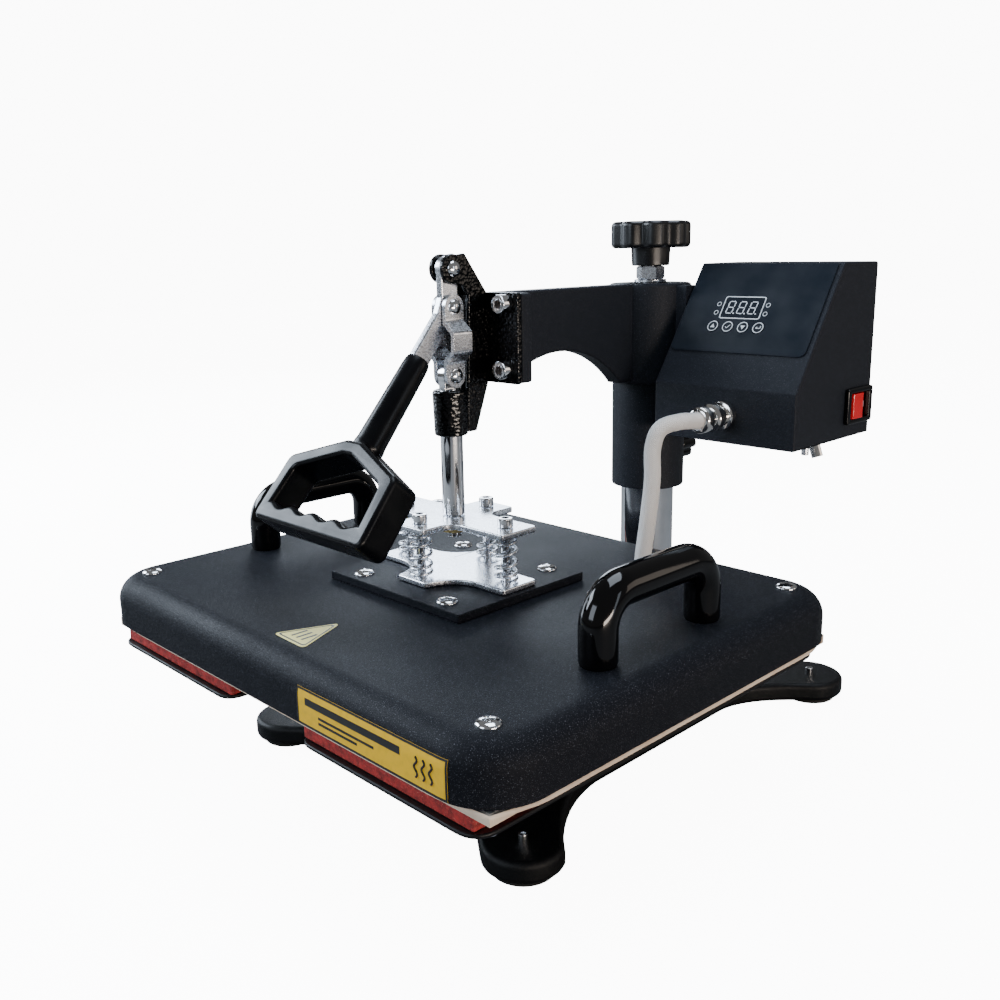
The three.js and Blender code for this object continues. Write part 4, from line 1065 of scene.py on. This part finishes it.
def add_bracket():
    cheek = moved(slab(rounded(cheek_outline(), 1.2, 2), CHEEK_IN, CHEEK_OUT, 0.8), YZ_TO_X)
    other = copy_at(cheek, at(-CHEEK_IN - CHEEK_OUT))
    plate = flange_plate(1, 2.2, BRACKET_BACK - 4, BRACKET_BACK, 0.9)
    web = moved(slab(rect(14.5, BRACKET_BACK - 2, FLANGE_LOW, ARM_TOP - 1), -4.4, 4.4, 0.3), YZ_TO_X)
    low_z, top = BUSHING_LOW, BUSHING_TOP
    bushing = lathe([(0, low_z), (10, low_z), (10.9, low_z + 0.8), (11.7, top - 2), (11, top - 0.6), (9.6, top),
                     (0, top)], 64)
    body = cut(united(plate, cheek, other, web, bushing), disc(7.8, low_z - 2, top + 6, BORE_EDGE))
    piece("bracket_body", body, "arm", hammered_black, "toggle_bracket", smooth=50)
    head = socket_bolt(6, 8, 3, 0, 5.5)
    for i, (x, z) in enumerate(((-25, 273), (25, 273), (-25, 315), (25, 315))):
        placing = turn(90, "X"), turn(23 * i, "Y"), at(x, BRACKET_BACK - 4, z)
        piece(f"bracket_bolt_{i + 1}", copy_at(head, *placing), "arm", chrome)
        piece(f"bracket_bolt_socket_{i + 1}", moved(socket_shade(8, 5.5), *placing), "arm", socket_shade_metal)
    add_rivet("top_rivet", TOP_Z, CHEEK_OUT + 0.3, "arm")


def add_rivet(name, z, half, body):
    """A rivet along X with a domed head at each end."""
    dome = [(RIVET_R, half), (RIVET_R, half + 0.5), (RIVET_R * 0.86, half + 1.4), (RIVET_R * 0.56, half + 2.2),
            (0.0, half + 2.6)]
    left = [(r, -x) for r, x in reversed(dome)]
    solid = lathe([*left, (RIVET_SHANK_R, -half), (RIVET_SHANK_R, half), *dome], 40)
    piece(name, moved(solid, ALONG_X, at(0, 0, z)), body, chrome, f"toggle_{name}")


def link_solid():
    """One link plate: flat eyes at both ends and an outward bulge between them, on the right side."""
    near, far, bulge, shoulder, eye = CHEEK_IN, CHEEK_OUT - 0.3, 7.5, 10.5, 8.0
    strip = [
        (near, MID_Z + eye), (near, MID_Z - shoulder), (near + bulge, MID_Z - shoulder - 6),
        (near + bulge, LOW_Z + shoulder + 6), (near, LOW_Z + shoulder), (near, LOW_Z - eye),
        (far, LOW_Z - eye), (far, LOW_Z + shoulder - 1.5), (far + bulge, LOW_Z + shoulder + 4.5),
        (far + bulge, MID_Z - shoulder - 4.5), (far, MID_Z - shoulder + 1.5), (far, MID_Z + eye),
    ]
    bent = moved(sheet(rounded(strip, [0.3, 3, 3, 3, 3, 0.3, 0.3, 4, 4, 4, 4, 0.3], 4), -8, 8), XZ_TO_Y)
    shape = arc(0, MID_Z, 7.9, 0, 180, 20) + arc(0, LOW_Z, 7.9, 180, 360, 20)
    eye_hole = moved(disc(3.8, 0, 20, 0.05, 32), ALONG_X, at(0, 0, LOW_Z))
    return cut(boolean("INTERSECT", bent, moved(sheet(shape, -2, 30), YZ_TO_X)), eye_hole)


def flipped(bm, matrix):
    twin = copy_at(bm, matrix)
    bmesh.ops.recalc_face_normals(twin, faces=twin.faces)
    return twin


def add_links():
    link_right = link_solid()
    cap = lathe([(0, -0.4), (5, -0.4), (5, 0.5), (4.3, 1.5), (2.8, 2.4), (0, 2.8)], 40)
    head = moved(cap, ALONG_X, at(CHEEK_OUT - 0.4, 0, MID_Z))
    for side, flip in (("right", Matrix.Identity(4)), ("left", Matrix.Scale(-1, 4, (1, 0, 0)))):
        plate = bevel_edges(flipped(link_right, flip), 0.7)
        piece(f"link_{side}", plate, "links", zinc, f"toggle_link_{side}", smooth=50)
        piece(f"mid_rivet_{side}", flipped(head, flip), "links", chrome)
    add_rivet("lower_rivet", LOW_Z, CHEEK_OUT, "plunger")


def bevel_edges(bm, width):
    """Rounds the edges that are sharper than 40 degrees."""
    sharp = [e for e in bm.edges if len(e.link_faces) == 2 and e.calc_face_angle(0) > math.radians(40)]
    bmesh.ops.bevel(bm, geom=sharp, offset=width, segments=2, profile=0.5, affect="EDGES", clamp_overlap=True)
    return bm


def add_plunger():
    step = box_mm("upper_spider")[1].z + 0.5
    top, r = LOW_Z - 8.4, 7.4
    rod = lathe([(0, 162), (4.2, 162), (4.7, 162.6), (4.7, step), (r - 0.6, step), (r, step + 0.6),
                 (r, top - 1), (r - 1, top), (0, top)])
    tongue = moved(slab(rounded(rect(-7, 7, LOW_Z - 11, LOW_Z), 0.5, 2), -3.2, 3.2, 0.4), YZ_TO_X)
    eye = moved(disc(8, -3.2, 3.2), ALONG_X, at(0, 0, LOW_Z))
    piece("plunger_rod", united(rod, tongue, eye), "plunger", chrome, "plunger_shaft")
    low_corner, high_corner = box_mm("plunger_nut")
    nut = cut(hex_nut(16, low_corner.z, high_corner.z), disc(4.9, 150, 190, BORE_EDGE, 32))
    piece("brass_nut", nut, "plunger", brass, "plunger_nut")


# ---------- lever
LEVER_TILT = 49.5
LEVER_ROOT_Z = MID_Z - 1.8
LEVER_FRAME = at(0, 0, LEVER_ROOT_Z) @ turn(LEVER_TILT, "X")
BAR_HALF, BAR_WIDTH = 2.8, 14.0


def bar_outline():
    """Side view of the lever bar in (Y, Z): an upright between the pivots and an arm down to the grip."""
    half = BAR_WIDTH / 2
    tilt = math.radians(LEVER_TILT)
    along = Vector((-math.cos(tilt), -math.sin(tilt)))
    across = Vector((math.sin(tilt), -math.cos(tilt))) * half
    root = Vector((0, LEVER_ROOT_Z))
    tip = root + along * 58
    arm = [(-half, MID_Z + 6), *(tuple(p) for p in (root - across + along * 8, tip - across, tip + across))]
    return arc(0, TOP_Z, 8.0, -29, 209, 24) + arm + arc(0, MID_Z, 8.0, -55, 29, 8)


def add_lever():
    bar = moved(slab(rounded(bar_outline(), 1.0, 2), -BAR_HALF, BAR_HALF, 1.1), YZ_TO_X)
    hole = moved(disc(3.8, -9, 9, 0.05, 32), ALONG_X, at(0, 0, TOP_Z))
    piece("lever_arm", cut(bar, hole), "lever", zinc, "lever_bar", smooth=50)
    profile = [(0, -107.4), (9.6, -107.4), (10.1, -106), (10.1, -104), (9.6, -101), (8.7, -60), (8.4, -46),
               (8.1, -42), (7.4, -39.6), (6.4, -38.9), (0, -38.9)]
    slot = sheet(rounded_rect(2 * BAR_HALF + 0.6, BAR_WIDTH + 0.6, 0.8, 3), -60, -30)
    grip = cut(moved(lathe(profile, 64), ALONG_Y), moved(slot, ALONG_Y))
    piece("grip_body", moved(grip, LEVER_FRAME), "lever", grip_black, "lever_grip")
    piece("handle_loop", moved(loop_solid(), LEVER_FRAME), "lever", grip_black, "lever_handle")


def grip_edge(half, low_y, grooves=4, depth=3.2):
    """The grip bar's inner edge, from right to left: finger grooves with round humps between them."""
    steps = grooves * 12
    points = []
    for t in (i / steps for i in range(steps + 1)):
        groove = 0.5 - 0.5 * math.cos(2 * math.pi * grooves * t)
        points.append((half * (1 - 2 * t), low_y - depth * groove))
    return points


def loop_solid():
    """The D-shaped handle with finger grooves, drawn in (X, Y) of the lever's own frame."""
    apex, shoulder, foot = -106.5, -124.5, -170.5
    corners = [(-7, apex), (7, apex), (53.5, shoulder), (55.3, foot), (-55.3, foot), (-53.5, shoulder)]
    edge = grip_edge(44.5, foot + 13.5)
    top = [(-42.5, shoulder - 7), (-4, apex - 10), (4, apex - 10), (42.5, shoulder - 7)]
    hole = rounded([*top, *edge], [6, 5, 5, 6, *[0] * len(edge)], 5)
    return slab(rounded(corners, [8, 8, 7, 6, 6, 7], 6), -10, 12.5, 2.8, holes=[hole], steps=4)


# ---------- knobs
CROWN_LOW = 347.6


def lobed(r, lobes, depth, per_lobe=14):
    outline = []
    for i in range(lobes * per_lobe):
        angle = 2 * math.pi * i / (lobes * per_lobe)
        reach = r - depth * (0.5 - 0.5 * math.cos(lobes * angle)) ** 2
        outline.append((reach * math.cos(angle), reach * math.sin(angle)))
    return outline


def add_knobs():
    nut_low, nut_top = ARM_TOP + 2.9, ARM_TOP + 12.6
    seat, crown_high = CROWN_LOW + 2, box_mm("pressure_knob")[1].z
    bolt = united(hex_nut(19, nut_low, nut_top, 1.0), disc(6, 240, seat, 0.8))
    piece("pressure_bolt", moved(bolt, ON_COLUMN), "pressure_knob", zinc, "pressure_screw")
    neck = lathe([(0, nut_top + 0.3), (13.6, nut_top + 0.3), (14.4, nut_top + 1), (15.2, seat), (0, seat)])
    crown = slab(lobed(30.3, 8, 4.6), CROWN_LOW, crown_high, 3.4, steps=5)
    dish = lathe([(0, crown_high - 1.6), (17, crown_high - 1.6), (18.4, crown_high - 1), (19, crown_high + 1),
                  (0, crown_high + 1)])
    knob = cut(united(neck, crown), dish, disc(6.3, 300, seat + 0.3, BORE_EDGE, 40))
    piece("pressure_knob_body", moved(knob, ON_COLUMN), "pressure_knob", knob_black, "pressure_knob")
    low_corner, high_corner = box_mm("lock_knob")
    inner, outer = low_corner.y - COLUMN_Y, high_corner.y - COLUMN_Y
    knob = united(disc(3.9, inner, inner + 12, 0.5, 32), slab(lobed(13, 6, 3.2), inner + 9.2, outer, 2.0))
    placing = ALONG_Y, at(0, COLUMN_Y, (low_corner.z + high_corner.z) / 2)
    piece("lock_knob_body", moved(knob, *placing), "lock_knob", gloss_black, "lock_knob")


# ---------- control box
BOX_LEFT, BOX_RIGHT, BOX_FRONT, BOX_BACK = 40.0, 155.0, 166.5, 271.7
BOX_LOW, BOX_TOP, CREASE_Z, TOP_FRONT = 213.2, 335.7, 252.1, 223.0
BOX_WALL = 1.6
PANEL_ANGLE = math.degrees(math.atan2(BOX_TOP - CREASE_Z, TOP_FRONT - BOX_FRONT))
PANEL_LENGTH = math.hypot(BOX_TOP - CREASE_Z, TOP_FRONT - BOX_FRONT)
PANEL = at(BOX_LEFT, BOX_FRONT, CREASE_Z) @ turn(PANEL_ANGLE, "X")
KEYS = {"up": 31.2, "ok": 43.6, "down": 56.0, "enter": 68.4}
KEY_Y, KEY_R = 47.5, 4.3
WINDOW = (34.0, 65.5, 55.0, 71.5)
OVERLAY = (1.4, 111.0, 27.0, PANEL_LENGTH - 1)
FILM_TOP = 0.9
# Lowest and highest point and edge of ink on the film, on the glass and on a key.
FILM_INK, GLASS_INK, KEY_INK = ((FILM_TOP + low_z, FILM_TOP + high_z, 0.02)
                                for low_z, high_z in ((0.02, 0.12), (0.12, 0.2), (0.41, 0.49)))


def box_outline(inset, below):
    """Side view of the box, or of its hollow, which runs out through the open bottom."""
    low_z, back, top = BOX_LOW - below, BOX_BACK - inset, BOX_TOP - inset
    return [(BOX_FRONT + inset, low_z), (back, low_z), (back, top), (TOP_FRONT + 0.7 * inset, top),
            (BOX_FRONT + inset, CREASE_Z + 0.3 * inset)]


def add_box_shell():
    side_view = rounded(box_outline(0, 0), [0.6, 0.6, 2.5, 2.5, 2.5], 5)
    outer = moved(slab(side_view, BOX_LEFT, BOX_RIGHT, 1.1), YZ_TO_X)
    hollow = sheet(box_outline(BOX_WALL, 5), BOX_LEFT + BOX_WALL, BOX_RIGHT - BOX_WALL, 0.3)
    switch_hole = sheet(rect(236.4, 265.6, 225.0, 246.2), BOX_RIGHT - 5, BOX_RIGHT + 5, 0.1)
    tools = [moved(hollow, YZ_TO_X), moved(switch_hole, YZ_TO_X)]
    tools.insert(1, moved(disc(7, -5, 5, 0.1, 32), turn(90, "X"), at(GLAND_X, BOX_FRONT, GLAND_Z)))
    tools += [moved(disc(KEY_R + 0.8, -5, 5, 0.1, 32), at(x, KEY_Y), PANEL) for x in KEYS.values()]
    piece("box_shell", cut(outer, *tools), "arm", powder_lit_copy, "control_box_shell")
    low_corner, high_corner = box_mm("control_box_floor")
    outline = rect(low_corner.x, high_corner.x, low_corner.y, high_corner.y)
    plate = slab(outline, low_corner.z, high_corner.z, 0.4)
    piece("box_floor", plate, "arm", powder_lit_copy, "control_box_floor")


def window(grow, radius):
    """The display window's outline, larger all round by so much."""
    x0, x1, y0, y1 = WINDOW
    return rounded(rect(x0 - grow, x1 + grow, y0 - grow, y1 + grow), radius, 4)


def panel_piece(name, solid, surface=ink_white, stands_for=None, body="arm"):
    piece(name, moved(solid, PANEL), body, surface, stands_for)


def add_panel():
    holes = [circle(x, KEY_Y, KEY_R + 0.3, 32) for x in KEYS.values()] + [window(0, 1.2)]
    film = sheet(rounded(rect(*OVERLAY), [6, 6, 1, 1], 6), 0.3, FILM_TOP, 0.12, holes)
    panel_piece("panel_overlay", film, panel_film, "control_panel")
    glass = sheet(window(-0.3, 1.0), 0.3, FILM_TOP + 0.1, 0.1)
    panel_piece("display_glass", glass, window_dark, "display_window")
    panel_piece("display_rim", sheet(window(0.9, 2.0), *FILM_INK, holes=[window(0.1, 1.4)]))
    x0, x1, y0, y1 = WINDOW
    add_digits((x0 + x1) / 2, (y0 + y1) / 2)
    add_marks()


def segment(start, end, width):
    """One bar of a seven-segment digit, with pointed ends."""
    a, b = Vector(start), Vector(end)
    along = (b - a).normalized() * width / 2
    across = Vector((-along.y, along.x))
    ring = [a, a + along - across, b - along - across, b, b - along + across, a + along + across]
    return sheet([tuple(p) for p in ring], *GLASS_INK)


def add_digits(cx, cy):
    """Three seven-segment numerals with their points."""
    w, h, pitch, line, slant = 5.0, 9.6, 9.0, 0.75, 0.08
    solids = []
    for i in range(3):
        x = cx + (i - 1) * pitch - 0.6
        left, right, low_y, high_y = x - w / 2, x + w / 2, cy - h / 2, cy + h / 2
        bars = [(left, y, right, y) for y in (low_y, cy, high_y)]
        bars += [(s, a, s, b) for s in (left, right) for a, b in ((low_y, cy), (cy, high_y))]
        for x0, y0, x1, y1 in bars:
            start = Vector((x0 + (y0 - cy) * slant, y0))
            end = Vector((x1 + (y1 - cy) * slant, y1))
            gap = (end - start).normalized() * 0.25
            solids.append(segment(start + gap, end - gap, line))
        solids.append(moved(disc(0.6, *GLASS_INK, 16), at(right + 1.3, low_y)))
    panel_piece("display_digits", merged(*solids))


def ring_mark(x, y, r, line, ink):
    return sheet(circle(x, y, r, 48), *ink, holes=[circle(x, y, r - line, 48)])


def add_key_lines(name, corners):
    """A sign on a key's cap, drawn as bars from corner to corner about the cap's middle."""
    middle = KEYS[name]
    spots = [(middle + x, KEY_Y + y) for x, y in corners]
    bars = [segment(a, b, 0.6) for a, b in zip(spots, spots[1:])]
    panel_piece(f"key_sign_{name}", moved(merged(*bars), at(0, 0, 0.3)), body=f"key_{name}")


def add_marks():
    """Keys with printed rings and signs, and the four small lamps beside the display."""
    for name, x in KEYS.items():
        body = f"key_{name}"
        cap = moved(disc(KEY_R, -0.9, FILM_TOP + 0.4, 0.25, 40), at(x, KEY_Y))
        panel_piece(f"key_cap_{name}", cap, panel_film, body, body)
        panel_piece(f"key_ring_{name}", ring_mark(x, KEY_Y, KEY_R - 0.1, 0.65, KEY_INK), body=body)
        if name in ("up", "down"):
            way = 1 if name == "up" else -1
            shape = [(x - 1.9, KEY_Y - 1.2 * way), (x + 1.9, KEY_Y - 1.2 * way), (x, KEY_Y + 1.9 * way)]
            panel_piece(f"key_arrow_{name}", sheet(shape[::way], *KEY_INK), body=body)
    add_key_lines("ok", [(-1.8, 0), (-0.5, -1.4), (1.9, 1.5)])
    add_key_lines("enter", [(1.8, 1.6), (1.8, -0.5), (-1.8, -0.5), (-0.6, 0.8)])
    lamps = [ring_mark(x, y, 1.8, 0.45, FILM_INK) for x in (29.4, 69.6) for y in (58.8, 65.8)]
    panel_piece("lamp_rings", merged(*lamps))


def add_switch():
    low_corner, high_corner = box_mm("switch_bezel")
    middle, size = (low_corner + high_corner) / 2, high_corner - low_corner
    y, z = middle.y, middle.z
    flange = slab(rounded_rect(size.y, size.z, 2.0, 5, y, z), BOX_RIGHT + 0.3, high_corner.x, 0.9,
                  holes=[rounded_rect(26, 18.4, 0.8, 3, y, z)])
    piece("bezel_frame", moved(flange, YZ_TO_X), "arm", gloss_black, "switch_bezel")
    cup = sheet(rounded_rect(28.4, 20.4, 0.8, 3, y, z), low_corner.x, BOX_RIGHT + 1.5, 0.2)
    pit = sheet(rounded_rect(26.2, 18.6, 0.8, 3, y, z), low_corner.x + 2, BOX_RIGHT + 5, 0.1)
    piece("bezel_cup", moved(cut(cup, pit), YZ_TO_X), "arm", gloss_black)
    shape = rounded([(-12, -4), (12, -4), (12, 1.5), (0, 4.4), (-12, 1.5)], [0.3, 0.3, 1.2, 2.0, 1.2], 4)
    placing = turn(11.46 - 90, "Z"), at(BOX_RIGHT + 0.5, y, z)
    piece("rocker", moved(slab(shape, -8.9, 8.9), *placing), "power_switch", rocker_red, "power_switch")
    mark = sheet(circle(0, 0, 2.3, 32), 0, 0.12, 0.03, [circle(0, 0, 1.5, 32)])
    slope = math.degrees(math.atan2(2.9, 12))
    mark = moved(mark, ALONG_Y, turn(180, "X"), turn(slope, "Z"), at(-6.2, 3.05), *placing)
    piece("rocker_mark", mark, "power_switch", ink_white)


def add_gland():
    tip, face, bore = 134.0, BOX_FRONT, LEAD_DIAMETER / 2 + 0.3
    profile = [(bore, tip), (7.2, tip), (8.6, tip + 1), (9.2, tip + 2.4), (9.3, tip + 7), (8.7, tip + 8.4),
               (7.6, tip + 9), (7.5, tip + 12.6), (8.6, tip + 13.2), (9.6, tip + 14.4), (9.7, tip + 18.6),
               (8.9, tip + 19.6), (7.8, tip + 20.2), (7.7, face - 6.2), (9.4, face - 5.8), (10, face - 5.2),
               (10, face - 0.8), (9.5, face - 0.3), (6.7, face - 0.3), (6.7, face + 5), (bore, face + 5),
               (bore, tip)]
    body = moved(lathe(profile, 60), ALONG_Y, at(GLAND_X, 0, GLAND_Z))
    piece("gland_body", body, "arm", nickel, "lead_gland")
    low_corner, high_corner = box_mm("earth_screw")
    middle = (low_corner + high_corner) / 2
    stud = disc(2.6, low_corner.z, high_corner.z, 0.5, 32)
    piece("earth_stud", moved(stud, at(middle.x, middle.y)), "arm", zinc, "earth_screw")


def finish_kept_nodes():
    """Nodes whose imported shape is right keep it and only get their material."""
    kept = {"heat_plate": aluminium, "insulation": felt, "swivel_cap": zinc, "mains_gland": nickel}
    for name, surface in kept.items():
        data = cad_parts[name].data
        data.materials.clear()
        data.materials.append(surface.material)


add_camera()
add_heater_lead()
add_studio()
add_base()
add_platen()
add_arm()
add_bracket()
add_links()
add_plunger()
add_lever()
add_knobs()
add_box_shell()
add_panel()
add_switch()
add_gland()
finish_kept_nodes()
